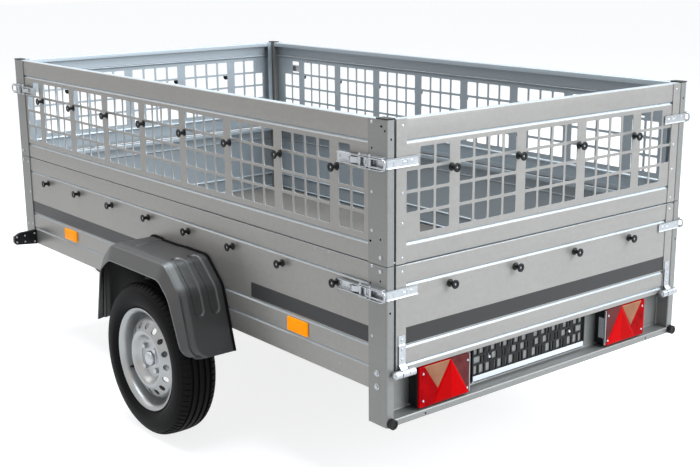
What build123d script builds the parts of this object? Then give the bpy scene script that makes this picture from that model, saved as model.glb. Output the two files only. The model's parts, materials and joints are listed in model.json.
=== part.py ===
"""Single-axle utility trailer with pressed steel sides and a mesh extension.

Units are millimetres, +Z is up and +X points forward, along the drawbar. Stations along X are
written from the rear face of the corner posts; save() moves every piece so that the origin lies
on the floor under the middle of the whole trailer.
"""
from build123d import *
from math import atan2, cos, degrees, floor, hypot, radians, sin
import os

os.makedirs("parts", exist_ok=True)

# ---------------------------------------------------------------- driving dimensions
# load box
BOX_WIDTH = 1320            # over the corner posts
BOX_LENGTH = 2356           # over the corner posts
POST_FOOT = 304             # underside of the rear posts and of the rear beam
SIDE_FOOT = 402             # underside of the side walls
FLOOR_TOP = 470
SPLIT = 772                 # joint between the lower walls and the mesh extension
TOP = 1174
SPLIT_GAP = 2               # seam between stacked fixed pieces
GATE_GAP = 5                # running gap round a moving gate

# sheet and posts
SHEET = 2                   # wall sheet
POST_SHEET = 3
POST_FLANGE = 78            # width of a post on the trailer's side
POST_BOX = 45               # length of the folded box in the post
POST_FACE = 29              # width of a post on the trailer's end
POST_BEND = 5               # outer radius of its folded corners
WALL_DEPTH = 26             # inward fold along the top and bottom of a wall
WALL_LIP = 18
END_FACE = 2                # outer face of the end walls behind the end faces of the posts
SPIGOT = 40                 # joint plates reach this far into the upper and the lower posts
SPIGOT_SHEET = 6
CAP_THICKNESS = 4
CAP_OVERHANG = 1.5

# grooves pressed into the walls: half width and depth, then the places of their middles
BOARD_GROOVE = (5, 3)
MESH_GROOVE = (7, 4)
BOARD_LINE_DROP = 60        # upper line of the boards below the split
BOARD_LINE_RISE = 130       # lower line above the foot of the side walls
FOOT_LINE_RISE = 68         # a third line, on the fixed boards only
MESH_LINE_DROP = 63         # upper line of the mesh walls below their top
MESH_LINE_RISE = 57         # lower line above the split

# punched windows in the mesh walls
MESH_PITCH = 271            # from one wide upright to the next
UPRIGHT = 40                # width of an upright
BAR = 9                     # width of a thin bar
ROW_HEIGHT = 53.5
ROW_GAP = 8.5
ROW_RISE = 80               # lower edge of the lowest windows above the split
COLUMNS = 4                 # windows between two uprights
LEAST_WINDOW = 35           # the last window before a post may be this narrow

# tarpaulin knobs
KNOB_LOW_DROP = 87          # lower knobs below the split
KNOB_HIGH_DROP = 152        # upper knobs below the top
KNOB_REACH = 26
KNOB_BACK = 13              # left knobs behind the middle of their upright, right ones before it
KNOB_LEFT = 13              # end knobs to the left of it
# outline of a knob: radius, share of its reach
KNOB_OUTLINE = ((12, 0), (12, 0.1), (6, 0.26), (6, 0.62), (13.5, 0.8), (13.5, 0.94), (11, 1))

# gates
GATE_BOTTOM = 463
STRIP_WIDTH = 37            # folded strip at each end of a gate
STRIP_LEG = 20              # its return on the inside
HINGE_Z = 460
HINGE_BACK = 13             # hinge axis behind the posts
HINGE_R = 12
HINGE_PIN_R = 6
HINGE_FIT = 0.05            # radial clearance of a hinge pin
KNUCKLE = 24
KNUCKLE_GAP = 1.5
HINGE_ARM = 5               # thickness of the arms that carry the fixed knuckles
HINGE_INSET = 23            # middle of a hinge from the end of the gate
LEAF_HEIGHT = 105
LEAF = 3
MESH_PIN_R = 3.5
MESH_PIN_X = 5              # pivot of a mesh gate, in from the post's end face
MESH_PIN_RISE = 6           # and above the gate's lower edge

# over-centre latches
LATCH_LOW_DROP = 80         # middle of the lower latches below the split
LATCH_HIGH_DROP = 117       # and of the upper ones below the top
LEVER_LENGTH = 181
LEVER_HEIGHT = 30
LEVER_DEPTH = 15
LATCH_SHEET = 2
STRAP_LENGTH = 108
STRAP_HEIGHT = 28
STRAP = 3
STRAP_RUN = 2               # gap between a strap and the post that it passes

# rear beam
BEAM_DEPTH = 50
BEAM_SHELF = 324            # top of its shelf
BEAM_SHEET = 3
BUFFER_R = 15
BUFFER_LENGTH = 16
BUFFER_Z = 316

# lamps and plate
LAMP_WIDTH = 203
LAMP_HEIGHT = 126
LAMP_INSET = 197            # middle of the left lamp from the inner face of a post
LAMP_INSET_RIGHT = 232      # middle of the right lamp from its post
LENS = 8
LENS_BEVEL = 5
LAMP_CORNER = 10            # radius of a housing's rear corners
LAMP_SEAT = 5               # lower edge of a lamp above the shelf
PLATE_GAP_LEFT = 50.5       # between the plate holder and the left lamp
PLATE_GAP_RIGHT = 59.5
PLATE_RISE = 8              # above the shelf
PLATE_HEIGHT = 112
PLATE = 8
PLATE_STRIP = 20            # blank strip along its lower edge
PLATE_RIB = 6
PLATE_COLUMNS = 12
PLATE_ROWS = 3

# reflectors and front markers
REFLECTOR = (100, 6, 44)
REFLECTOR_Z = 502
REFLECTOR_REAR = 412        # middle of the rear one from the rear end
REFLECTOR_FRONT = 426       # and of the front one from the front end
MARKER_BACK = 94            # front marker behind the front end
MARKER_REACH = 112
MARKER_HEIGHT = 62
MARKER_TIP = 34
MARKER_DEPTH = 16
MARKER_LENS = 12
# outline of a marker: reach from the wall, height above the foot of the wall
MARKER_OUTLINE = ((0, 0), (MARKER_REACH, 10), (MARKER_REACH, 10 + MARKER_TIP),
                  (MARKER_REACH - 22, MARKER_HEIGHT - 4), (0, MARKER_HEIGHT))
MARKER_LENS_SPAN = (35, MARKER_REACH - 6)       # of the lens, from the wall
MARKER_LENS_RISE = 12

# running gear
TYRE_R = 266
TYRE_WIDTH = 146
# section of a tyre from the tread to the bead: share of the wall's height, distance inside the wall
TYRE_SECTION = ((0.01, 53), (0.03, 30), (0.09, 20), (0.18, 10), (0.32, 3), (0.5, 0), (0.7, 1), (0.85, 8),
                (0.94, 16))
RIM_R = 178.5               # over the flanges
BEAD_R = 166
RIM_WIDTH = 124             # over the flanges
RIM_LIP = 8
RIM_SHEET = 6
WHEEL_X = 1035
RIM_OUT = 190               # outer face of the rim beyond the wall
HUB_INSET = 34              # hub face behind the rim's outer face
HUB_FACE_R = 66
DISC_SHEET = 6
CREST = 6                   # crest of the disc behind the rim's outer face
# disc of a wheel from its middle outwards: radius, depth behind the crest
DISC_SECTION = ((34, 22), (HUB_FACE_R, 22), (86, 3), (94, 0), (103, 3), (134, 22), (148, 44), (160, 52))
HUB_R = 56
HUB_WIDTH = 70
HUB_FLANGE = 12
STUB_R = 20
STUB_FIT = 0.05
STUB_END = 0.5              # play beyond the end of the stub
BOLT_CIRCLE = 100
BOLT_HOLE_R = 6.5
BOLT_FIT = 0.5
BOLTS = 4
NUT_R = 10.5                # over the corners
NUT_HEIGHT = 12
# dust cap from its middle outwards: radius, height above the hub face
CAP_SECTION = ((0, 25), (14, 24), (22, 20), (27, 12), (27, 8), (33, 8), (33, 0))
VENTS = 16
VENT_CIRCLE = 232
VENT_R = 10.5
AXLE_TUBE = 70
AXLE_WALL = 5
AXLE_LEAD = 140             # axle tube ahead of the wheel centre
AXLE_Z = 322
ARM_WIDTH = 60
ARM_THICKNESS = 24
ARM_OUT = 11                # inner face of a swing arm beyond the wall
AXLE_BRACKET_IN = 97        # bracket of the axle tube inside the wall
BRACKET = 8
BRACKET_LENGTH = 120
BRACKET_FLANGE = 50

# mudguards
GUARD_CREASE = 165          # crease between the top and the outer band, beyond the wall
GUARD_OUT = 195             # lip of the band beyond the wall
GUARD = 4
GUARD_LIP = 6               # the lip is thicker than the sheet
GUARD_CUT = 60              # the hollow runs this far below the feet
GUARD_CORNER = 45           # radius of the rear foot's outer corner
# corners of a mudguard from front to rear, seen from the wheel centre: angle and distance from
# the tread, on the crease and then on the lip
GUARD_CORNERS = ((11.8, 66, 12.1, 57), (43.5, 158, 42.8, 114), (56.5, 165, 55.2, 108),
                 (109.2, 114, 111.8, 65), (127.7, 83, 125.3, 48), (166.9, 17, 166.3, 4))

# underframe
RAIL_WIDTH = 50
RAIL_WALL = 3
FLOOR = 9
CROSS_REAR = (520, 960, 1560)   # cross members from the rear end
CROSS_FRONT = 346           # and one from the front end
CROSS_WIDTH = 50
DRAWBAR_REACH = 1080        # coupling ball ahead of the front posts
DRAWBAR_START = 1300        # rear ends of the arms
DRAWBAR_INSET = 177         # rear ends of the arms inside the walls
DRAWBAR_NOSE = 46           # and at their front ends
DRAWBAR_TAIL = 150          # front ends of the arms behind the ball
ARM_TUBE = (40, 50)         # width, height
ARM_WALL = 3
HEAD_LENGTH = 190
HEAD_PLATE = 6
HEAD_OVER = 20              # the plates and the coupling reach this far past each other
BALL_R = 25.4
BALL_Z = 424
COUPLING_WALL = 19          # socket wall and its flared skirt
COUPLING_NECK = 64
COUPLING_HEIGHT = 50
COUPLING_BEND = 8           # radius of the neck's upper edges
CUP = 16                    # lower edge of the cup below the middle of the ball
# outer side of the cup from its lower edge: distance inside the reach of the nose, share of the height
CUP_SECTION = ((0, 0), (4, 0.1), (5, 0.6), (12, 0.85), (24, 1))
HANDLE_WIDTH = 28
# side of the handle: distance behind the ball, height above the neck
HANDLE_SIDE = ((-10, 0), (-4, 12), (64, 20), (150, 26), (170, 18), (168, 10), (150, 16), (72, 8), (60, 0))

# jockey wheel
JOCKEY_BACK = 420           # behind the coupling ball
JOCKEY_R = 24
JOCKEY_WALL = 2.5
JOCKEY_FIT = 0.5
JOCKEY_TUBE_FOOT = 372
JOCKEY_TUBE_TOP = 640
JOCKEY_STEM_TOP = 495
JOCKEY_CROWN = 225          # top of the fork
JOCKEY_WHEEL_R = 100
JOCKEY_WHEEL_WIDTH = 46
JOCKEY_TRAIL = 36
JOCKEY_AXLE_R = 7
JOCKEY_HUB_R = 58
FORK = 5
FORK_GAP = 6                # between the wheel and a cheek
CROWN_OVER = 28
CHEEK_TIP = 16
PIVOT_R = 9
PIVOT_LENGTH = 26
CLAMP_LENGTH = 70
CLAMP_HEIGHT = 40
CLAMP_WALL = 6
CLAMP_EAR = 34
CROWN_GAP = 6               # between the stem and the fork's crown
STEM_FLOOR = 10
TUBE_CAP = 8
CRANK_RISE = 16             # crank above the tube
CRANK_REACH = 90
CRANK_R = 6
CRANK_BOSS = 4
GRIP_R = 9
GRIP = 36

# ---------------------------------------------------------------- derived places
HALF = BOX_WIDTH / 2
MIDDLE = BOX_LENGTH / 2
WALL_FACE = HALF - POST_SHEET                       # outer face of the side walls
BOARD_HALF = HALF - POST_FACE                       # half width between the posts
GATE_HALF = BOARD_HALF - GATE_GAP                   # half width of a gate
RAIL_TOP = FLOOR_TOP - FLOOR
FLOOR_END = END_FACE + WALL_DEPTH + SHEET + GATE_GAP    # rear edge of the floor
FLOOR_FRONT = BOX_LENGTH - END_FACE - WALL_DEPTH        # front edge of the floor
BALL_X = BOX_LENGTH + DRAWBAR_REACH
JOCKEY_X = BALL_X - JOCKEY_BACK
ARM_TOP = SIDE_FOOT
LOW_TOP = SPLIT - GATE_GAP                          # top of the tailgate and of the front board
MESH_FOOT = SPLIT + SPLIT_GAP                       # lower edge of the mesh walls
MESH_PIN_Z = MESH_FOOT + MESH_PIN_RISE
BOARD_LINES = (SPLIT - BOARD_LINE_DROP, SIDE_FOOT + BOARD_LINE_RISE)
FIXED_LINES = BOARD_LINES + (SIDE_FOOT + FOOT_LINE_RISE,)
MESH_LINES = (TOP - MESH_LINE_DROP, SPLIT + MESH_LINE_RISE)
ROW_BOTTOM = SPLIT + ROW_RISE
ROWS = floor((MESH_LINES[0] - MESH_GROOVE[0] - ROW_BOTTOM + ROW_GAP) / (ROW_HEIGHT + ROW_GAP))
WINDOW = (MESH_PITCH - UPRIGHT - (COLUMNS - 1) * BAR) / COLUMNS
KNOB_LOW = SPLIT - KNOB_LOW_DROP
KNOB_HIGH = TOP - KNOB_HIGH_DROP
LATCH_LOW = SPLIT - LATCH_LOW_DROP
LATCH_HIGH = TOP - LATCH_HIGH_DROP
HINGE_Y = GATE_HALF - HINGE_INSET
LAMP_Y = BOARD_HALF - LAMP_INSET
LAMP_RIGHT_Y = LAMP_INSET_RIGHT - BOARD_HALF
PLATE_LEFT = LAMP_Y - LAMP_WIDTH / 2 - PLATE_GAP_LEFT       # ends of the plate holder
PLATE_RIGHT = LAMP_RIGHT_Y + LAMP_WIDTH / 2 + PLATE_GAP_RIGHT
RIM_FACE_Y = WALL_FACE + RIM_OUT
ARM_Y = WALL_FACE + ARM_OUT
DRAWBAR_SPREAD = WALL_FACE - DRAWBAR_INSET          # half distance between the rear ends of the arms
NOSE_REACH = BALL_R + COUPLING_WALL                 # coupling ahead of the ball
REAR_REACH = max(KNOB_REACH - END_FACE, HINGE_BACK + HINGE_R)   # knobs or hinges behind the posts
CENTRE_X = (BALL_X + NOSE_REACH - REAR_REACH) / 2


# ---------------------------------------------------------------- helpers
def block(x0, x1, y0, y1, z0, z1):
    """Box between two corners."""
    return Pos((x0 + x1) / 2, (y0 + y1) / 2, (z0 + z1) / 2) * Box(x1 - x0, y1 - y0, z1 - z0)


def rod(radius, length, middle, axis):
    """Cylinder about a row axis, by its middle."""
    turn = {"x": Rot(0, 90, 0), "y": Rot(90, 0, 0), "z": Rot(0, 0, 0)}[axis]
    return Pos(*middle) * turn * Cylinder(radius, length)


def prism(points, reach):
    """Straight solid on a flat polygon, along the vector reach."""
    return Solid.extrude(Face(Wire.make_polygon([Vector(*p) for p in points])), Vector(*reach))


def turned(profile, middle):
    """Solid of revolution about Y through middle; profile is (radius, y) pairs."""
    face = Face(Wire.make_polygon([Vector(r, y, 0) for r, y in profile]))
    return Pos(*middle) * Solid.revolve(face, 360, Axis.Y)


def gather(shapes):
    """One compound of every solid in shapes."""
    solids = []
    for shape in shapes:
        solids += shape.solids()
    return Compound(solids)


def same(shape):
    """The shape where it is."""
    return shape


def other_side(shape):
    """The same shape on the other side of the trailer."""
    return mirror(shape, about=Plane.XZ)


def other_end(shape):
    """The same shape at the other end of the load box."""
    return mirror(shape, about=Plane.YZ.offset(MIDDLE))


def save(node, *shapes):
    """Write one node, in the frame whose origin is on the floor below the middle."""
    export_step(Pos(-CENTRE_X, 0, 0) * gather(shapes), f"parts/{node}.step")


def folded_outline(bottom, top, lines, groove):
    """(depth, height) outline of a folded wall with V grooves pressed into its outer face."""
    half, depth = groove
    outer = [(0, bottom)]
    inner = []
    for height in sorted(lines):
        outer += [(0, height - half), (depth, height), (0, height + half)]
    for height in sorted(lines, reverse=True):
        inner += [(SHEET, height + half), (SHEET + depth, height), (SHEET, height - half)]
    fold = WALL_DEPTH - SHEET
    upper = [(0, top), (WALL_DEPTH, top), (WALL_DEPTH, top - WALL_LIP), (fold, top - WALL_LIP),
             (fold, top - SHEET), (SHEET, top - SHEET)]
    lower = [(SHEET, bottom + SHEET), (fold, bottom + SHEET), (fold, bottom + WALL_LIP),
             (WALL_DEPTH, bottom + WALL_LIP), (WALL_DEPTH, bottom)]
    return outer + upper + inner + lower


def side_wall(bottom, top, lines, groove):
    """Left wall between the boxes of the corner posts."""
    outline = folded_outline(bottom, top, lines, groove)
    corners = [(POST_BOX, WALL_FACE - depth, z) for depth, z in outline]
    return prism(corners, (BOX_LENGTH - 2 * POST_BOX, 0, 0))


def end_wall(bottom, top, lines, groove, half_width):
    """Rear wall across the trailer."""
    outline = folded_outline(bottom, top, lines, groove)
    return prism([(END_FACE + depth, -half_width, z) for depth, z in outline], (0, 2 * half_width, 0))


def uprights(limit):
    """Places of the wide uprights on both sides of a mesh wall's middle, as many as fit."""
    pairs = floor((limit - UPRIGHT / 2) / MESH_PITCH + 0.5)
    return [MESH_PITCH * (i + 0.5) for i in range(-pairs, pairs)]


def window_spans(limit):
    """(low, high, outermost) of each window column of a mesh wall, from its middle."""
    places = uprights(limit)
    step = WINDOW + BAR
    spans = []
    for place in places[:-1]:
        for k in range(COLUMNS):
            low = place + UPRIGHT / 2 + k * step
            spans.append((low, low + WINDOW, False))
    first = places[-1] + UPRIGHT / 2
    outer_columns = floor((limit - first - LEAST_WINDOW) / step) + 1
    for k in range(outer_columns):
        low = first + k * step
        high = min(low + WINDOW, limit)
        outermost = k == outer_columns - 1
        spans += [(low, high, outermost), (-high, -low, outermost)]
    return spans


def window_rows(kept):
    """(low, high) heights of the kept rows, counted from the bottom."""
    step = ROW_HEIGHT + ROW_GAP
    return [(ROW_BOTTOM + row * step, ROW_BOTTOM + row * step + ROW_HEIGHT) for row in kept]


def knob():
    """Mushroom knob for the tarpaulin cord, standing on the origin along Y."""
    outline = [(radius, share * KNOB_REACH) for radius, share in KNOB_OUTLINE]
    return turned([(0, 0)] + outline + [(0, KNOB_REACH)], (0, 0, 0))


# ---------------------------------------------------------------- corner posts
def corner_post(bottom, top):
    """Rear left post: a box on the corner, folded with round edges behind, and a flange along the side."""
    box = block(0, POST_BOX, HALF - POST_FACE, HALF, bottom, top)
    box = fillet(box.edges().filter_by(Axis.Z).group_by(Axis.X)[0], POST_BEND)
    hollow = block(POST_SHEET, POST_BOX - POST_SHEET, HALF - POST_FACE + POST_SHEET,
                   HALF - POST_SHEET, bottom, top)
    box -= fillet(hollow.edges().filter_by(Axis.Z).group_by(Axis.X)[0], POST_BEND - POST_SHEET)
    return box + block(POST_BOX, POST_FLANGE, WALL_FACE, HALF, bottom, top)


def post_pair(rear, front):
    """A rear and a front left post with their partners on the right."""
    return [rear, other_side(rear), other_end(front), other_side(other_end(front))]


def pivot_hole():
    """Hole in a post for the pin of a mesh gate."""
    return rod(MESH_PIN_R + HINGE_FIT, POST_FACE, (MESH_PIN_X, HALF - POST_FACE, MESH_PIN_Z), "y")


upper_post = corner_post(MESH_FOOT, TOP) - pivot_hole()
save("corner_posts_lower", *post_pair(corner_post(POST_FOOT, SPLIT), corner_post(SIDE_FOOT, SPLIT)))
save("corner_posts_upper", *post_pair(upper_post, upper_post))
post_cap = block(-CAP_OVERHANG, POST_BOX + CAP_OVERHANG, HALF - POST_FACE - CAP_OVERHANG,
                 HALF + CAP_OVERHANG, TOP, TOP + CAP_THICKNESS)
save("post_caps", *post_pair(post_cap, post_cap))

# short joint plates inside the posts carry the upper posts on the lower ones
spigot = block(POST_BEND, POST_BOX - POST_SHEET, WALL_FACE - SPIGOT_SHEET, WALL_FACE,
               SPLIT - SPIGOT, MESH_FOOT + SPIGOT)
save("post_joint_plates", *post_pair(spigot, spigot))

# ---------------------------------------------------------------- side walls
side_board = side_wall(SIDE_FOOT, SPLIT, FIXED_LINES, BOARD_GROOVE)
save("side_wall_left", side_board)
save("side_wall_right", other_side(side_board))

SIDE_LIMIT = MIDDLE - POST_FLANGE
mesh_side = side_wall(MESH_FOOT, TOP, MESH_LINES, MESH_GROOVE)
side_windows = []
for low, high, outermost in window_spans(SIDE_LIMIT):
    kept = range(ROWS - 1) if outermost else range(ROWS)
    for z0, z1 in window_rows(kept):
        side_windows.append(block(MIDDLE + low, MIDDLE + high, WALL_FACE - 2 * SHEET,
                                  WALL_FACE + SHEET, z0, z1))
mesh_side = mesh_side.cut(*side_windows)
save("mesh_wall_left", mesh_side)
save("mesh_wall_right", other_side(mesh_side))

side_knobs = []
for place in uprights(SIDE_LIMIT):
    for height in (KNOB_LOW, KNOB_HIGH):
        side_knobs.append(Pos(MIDDLE + place - KNOB_BACK, WALL_FACE, height) * knob())
save("side_knobs", *side_knobs, *[Pos(2 * KNOB_BACK, 0, 0) * other_side(k) for k in side_knobs])

# ---------------------------------------------------------------- end walls and gates
GATE_LIMIT = GATE_HALF - STRIP_WIDTH
front_board = other_end(end_wall(SIDE_FOOT, LOW_TOP, FIXED_LINES, BOARD_GROOVE, BOARD_HALF))
save("front_board", front_board)


def end_knobs(height):
    """Row of knobs on the rear wall."""
    places = [place + KNOB_LEFT for place in uprights(GATE_LIMIT)]
    return [Pos(END_FACE, y, height) * Rot(0, 0, 90) * knob() for y in places]


def end_strip(bottom, top):
    """Folded strip round the left end of a gate."""
    outer = block(0, END_FACE, GATE_HALF - STRIP_WIDTH, GATE_HALF, bottom, top)
    web = block(END_FACE, END_FACE + WALL_DEPTH, GATE_HALF - SHEET, GATE_HALF, bottom, top)
    back = block(END_FACE + WALL_DEPTH, END_FACE + WALL_DEPTH + SHEET, GATE_HALF - STRIP_LEG,
                 GATE_HALF, bottom, top)
    return outer + web + back


def catch_strap(height):
    """Latch strap on the left end of a gate: along the wall, past the post and round its corner."""
    low = height - STRAP_HEIGHT / 2
    high = height + STRAP_HEIGHT / 2
    outside = HALF + STRAP_RUN
    pad = block(-STRAP_RUN, 0, GATE_HALF - STRIP_WIDTH, GATE_HALF, low, high)
    run = block(-STRAP_RUN - STRAP, -STRAP_RUN, outside + STRAP - STRAP_LENGTH, outside + STRAP, low, high)
    hook = block(-STRAP_RUN, POST_SHEET * 3, outside, outside + STRAP, low, high)
    return pad + run + hook


def latch(height):
    """Over-centre latch on the left side at the rear corner: seat, lever and bail."""
    seat_face = HALF + STRAP_RUN * 2 + STRAP
    low = height - LEVER_HEIGHT / 2
    high = height + LEVER_HEIGHT / 2
    seat = block(POST_BOX - 20, POST_FLANGE - 10, HALF, seat_face, low + 4, high - 4)
    channel = block(20, 20 + LEVER_LENGTH, seat_face, seat_face + LEVER_DEPTH, low, high)
    channel -= block(20 + LATCH_SHEET, 20 + LEVER_LENGTH - LATCH_SHEET, seat_face + LATCH_SHEET,
                     seat_face + LEVER_DEPTH, low + LATCH_SHEET, high - LATCH_SHEET)
    bail = block(-10, 20, seat_face + 1, seat_face + LEVER_DEPTH - 1, low - 3, high + 3)
    bail -= block(-10 + LATCH_SHEET * 2, 20, seat_face + 1, seat_face + LEVER_DEPTH - 1, low + 1, high - 1)
    return (seat + channel) + bail


rear_catches = catch_strap(LATCH_LOW)
save("tailgate_panel", end_wall(GATE_BOTTOM, LOW_TOP, BOARD_LINES, BOARD_GROOVE, GATE_HALF - SHEET))
low_strip = end_strip(GATE_BOTTOM, LOW_TOP)
save("tailgate_strips", low_strip, other_side(low_strip))
save("tailgate_knobs", *end_knobs(KNOB_LOW))
save("tailgate_catches", rear_catches, other_side(rear_catches))

mesh_gate = end_wall(MESH_FOOT, TOP, MESH_LINES, MESH_GROOVE, GATE_HALF - SHEET)
gate_windows = []
for low, high, outermost in window_spans(GATE_LIMIT):
    kept = range(1, ROWS - 1) if outermost else range(ROWS)
    for z0, z1 in window_rows(kept):
        gate_windows.append(block(END_FACE - SHEET, END_FACE + 2 * SHEET, low, high, z0, z1))
mesh_gate = mesh_gate.cut(*gate_windows)

pin_length = GATE_GAP + POST_SHEET + 2
pivot_pin = rod(MESH_PIN_R, pin_length, (MESH_PIN_X, GATE_HALF + pin_length / 2, MESH_PIN_Z), "y")
mesh_strip = end_strip(MESH_FOOT, TOP) + pivot_pin
mesh_catch = catch_strap(LATCH_HIGH)
gate_sets = (("rear_mesh", same), ("front_mesh", other_end))
for name, place in gate_sets:
    save(f"{name}_panel", place(mesh_gate))
    save(f"{name}_strips", place(mesh_strip), place(other_side(mesh_strip)))
    save(f"{name}_knobs", *[place(k) for k in end_knobs(KNOB_HIGH)])
    save(f"{name}_catches", place(mesh_catch), place(other_side(mesh_catch)))
save("front_board_knobs", *[other_end(k) for k in end_knobs(KNOB_LOW)])

latches = []
for height, place in ((LATCH_LOW, same), (LATCH_HIGH, same), (LATCH_HIGH, other_end)):
    latches += [place(latch(height)), other_side(place(latch(height)))]
save("latches", *latches)

# ---------------------------------------------------------------- tailgate hinges
HINGE_X = -HINGE_BACK
knuckle_span = 3 * KNUCKLE + 2 * KNUCKLE_GAP


def hinge_leaf():
    """Gate's half of the left hinge: a leaf on the strip and the middle knuckle."""
    leaf = block(-LEAF, 0, HINGE_Y - KNUCKLE / 2, HINGE_Y + KNUCKLE / 2, HINGE_Z, GATE_BOTTOM + LEAF_HEIGHT)
    tail = block(HINGE_X, 0, HINGE_Y - KNUCKLE / 2, HINGE_Y + KNUCKLE / 2, HINGE_Z + HINGE_R - LEAF - 2,
                 HINGE_Z + HINGE_R)
    knuckle = rod(HINGE_R, KNUCKLE, (HINGE_X, HINGE_Y, HINGE_Z), "y")
    bore = rod(HINGE_PIN_R + HINGE_FIT, KNUCKLE, (HINGE_X, HINGE_Y, HINGE_Z), "y")
    return (knuckle + tail + leaf) - bore


def hinge_seat():
    """Fixed half of the left hinge: pin, two knuckles and an arm back to the beam."""
    pin = rod(HINGE_PIN_R, knuckle_span, (HINGE_X, HINGE_Y, HINGE_Z), "y")
    seat = pin
    for side in (-1, 1):
        y = HINGE_Y + side * (KNUCKLE + KNUCKLE_GAP)
        seat += rod(HINGE_R, KNUCKLE, (HINGE_X, y, HINGE_Z), "y")
        seat += block(HINGE_X, BEAM_DEPTH, y - KNUCKLE / 2, min(y + KNUCKLE / 2, BOARD_HALF),
                      HINGE_Z - HINGE_R, HINGE_Z - HINGE_R + HINGE_ARM)
    return seat


save("tailgate_hinge_leaves", hinge_leaf(), other_side(hinge_leaf()))
save("hinge_seats", hinge_seat(), other_side(hinge_seat()))

# ---------------------------------------------------------------- rear beam
beam_outline = [(0, POST_FOOT), (0, BEAM_SHELF), (BEAM_DEPTH, BEAM_SHELF),
                (BEAM_DEPTH, RAIL_TOP - BEAM_SHEET), (FLOOR_END, RAIL_TOP - BEAM_SHEET),
                (FLOOR_END, RAIL_TOP),
                (BEAM_DEPTH + BEAM_SHEET, RAIL_TOP), (BEAM_DEPTH + BEAM_SHEET, BEAM_SHELF - BEAM_SHEET),
                (BEAM_SHEET, BEAM_SHELF - BEAM_SHEET), (BEAM_SHEET, POST_FOOT)]
rear_beam = prism([(x, -BOARD_HALF, z) for x, z in beam_outline], (0, 2 * BOARD_HALF, 0))
save("rear_beam", rear_beam)
buffer = rod(BUFFER_R, BUFFER_LENGTH, (-BUFFER_LENGTH / 2, HALF - BUFFER_R, BUFFER_Z), "x")
save("buffers", buffer, other_side(buffer))

# ---------------------------------------------------------------- lamps, plate holder, reflectors
lamp_low = BEAM_SHELF + LAMP_SEAT
lamp_high = lamp_low + LAMP_HEIGHT
lamp_body = block(LENS, BEAM_DEPTH, LAMP_Y - LAMP_WIDTH / 2, LAMP_Y + LAMP_WIDTH / 2, lamp_low, lamp_high)
lamp_body = fillet(lamp_body.edges().filter_by(Axis.Z).group_by(Axis.X)[-1], LAMP_CORNER)
lamp_lens = block(0, LENS, LAMP_Y - LAMP_WIDTH / 2, LAMP_Y + LAMP_WIDTH / 2, lamp_low, lamp_high)
lamp_lens = chamfer(lamp_lens.faces().sort_by(Axis.X)[0].edges(), LENS_BEVEL)
lamp_shift = Pos(0, LAMP_RIGHT_Y + LAMP_Y, 0)
save("lamp_bodies", lamp_body, lamp_shift * other_side(lamp_body))
save("lamp_lenses", lamp_lens, lamp_shift * other_side(lamp_lens))

plate_low = BEAM_SHELF + PLATE_RISE
plate = block(BEAM_DEPTH - PLATE, BEAM_DEPTH, PLATE_RIGHT, PLATE_LEFT, plate_low, plate_low + PLATE_HEIGHT)
pane_width = (PLATE_LEFT - PLATE_RIGHT - (PLATE_COLUMNS + 1) * PLATE_RIB) / PLATE_COLUMNS
pane_height = (PLATE_HEIGHT - PLATE_STRIP - PLATE_ROWS * PLATE_RIB) / PLATE_ROWS
panes = []
for column in range(PLATE_COLUMNS):
    for row in range(PLATE_ROWS):
        y0 = PLATE_RIGHT + PLATE_RIB + column * (pane_width + PLATE_RIB)
        z0 = plate_low + PLATE_STRIP + row * (pane_height + PLATE_RIB)
        panes.append(block(BEAM_DEPTH - PLATE, BEAM_DEPTH, y0, y0 + pane_width, z0, z0 + pane_height))
save("plate_holder", plate.cut(*panes))

reflectors = []
for x in (REFLECTOR_REAR, BOX_LENGTH - REFLECTOR_FRONT):
    length, depth, height = REFLECTOR
    reflectors.append(block(x - length / 2, x + length / 2, WALL_FACE, WALL_FACE + depth,
                            REFLECTOR_Z - height / 2, REFLECTOR_Z + height / 2))
save("side_reflectors", *reflectors, *[other_side(r) for r in reflectors])

MARKER_X = BOX_LENGTH - MARKER_BACK
marker = prism([(MARKER_X, WALL_FACE + reach, SIDE_FOOT + rise) for reach, rise in MARKER_OUTLINE],
               (MARKER_DEPTH, 0, 0))
marker_lens = block(MARKER_X + MARKER_DEPTH, MARKER_X + MARKER_DEPTH + MARKER_LENS,
                    WALL_FACE + MARKER_LENS_SPAN[0], WALL_FACE + MARKER_LENS_SPAN[1],
                    SIDE_FOOT + MARKER_LENS_RISE, SIDE_FOOT + MARKER_LENS_RISE + MARKER_TIP)
save("front_marker_bodies", marker, other_side(marker))
save("front_marker_lenses", marker_lens, other_side(marker_lens))

# ---------------------------------------------------------------- floor and underframe
rail_y = WALL_FACE - WALL_DEPTH
rail_start = BEAM_DEPTH + BEAM_SHEET
rail = block(rail_start, FLOOR_FRONT, rail_y - RAIL_WIDTH, rail_y, SIDE_FOOT, RAIL_TOP)
rail -= block(rail_start, FLOOR_FRONT, rail_y - RAIL_WIDTH + RAIL_WALL, rail_y - RAIL_WALL,
              SIDE_FOOT + RAIL_WALL, RAIL_TOP - RAIL_WALL)
save("side_rails", rail, other_side(rail))
cross_half = rail_y - RAIL_WIDTH
crosses = []
for x in CROSS_REAR + (BOX_LENGTH - CROSS_FRONT,):
    member = block(x - CROSS_WIDTH / 2, x + CROSS_WIDTH / 2, -cross_half, cross_half, SIDE_FOOT, RAIL_TOP)
    member -= block(x - CROSS_WIDTH / 2 + RAIL_WALL, x + CROSS_WIDTH / 2, -cross_half, cross_half,
                    SIDE_FOOT + RAIL_WALL, RAIL_TOP - RAIL_WALL)
    crosses.append(member)
save("cross_members", *crosses)
floor_half = rail_y - 1
save("floor_panel", block(FLOOR_END, FLOOR_FRONT, -floor_half, floor_half, RAIL_TOP, FLOOR_TOP))

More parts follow.
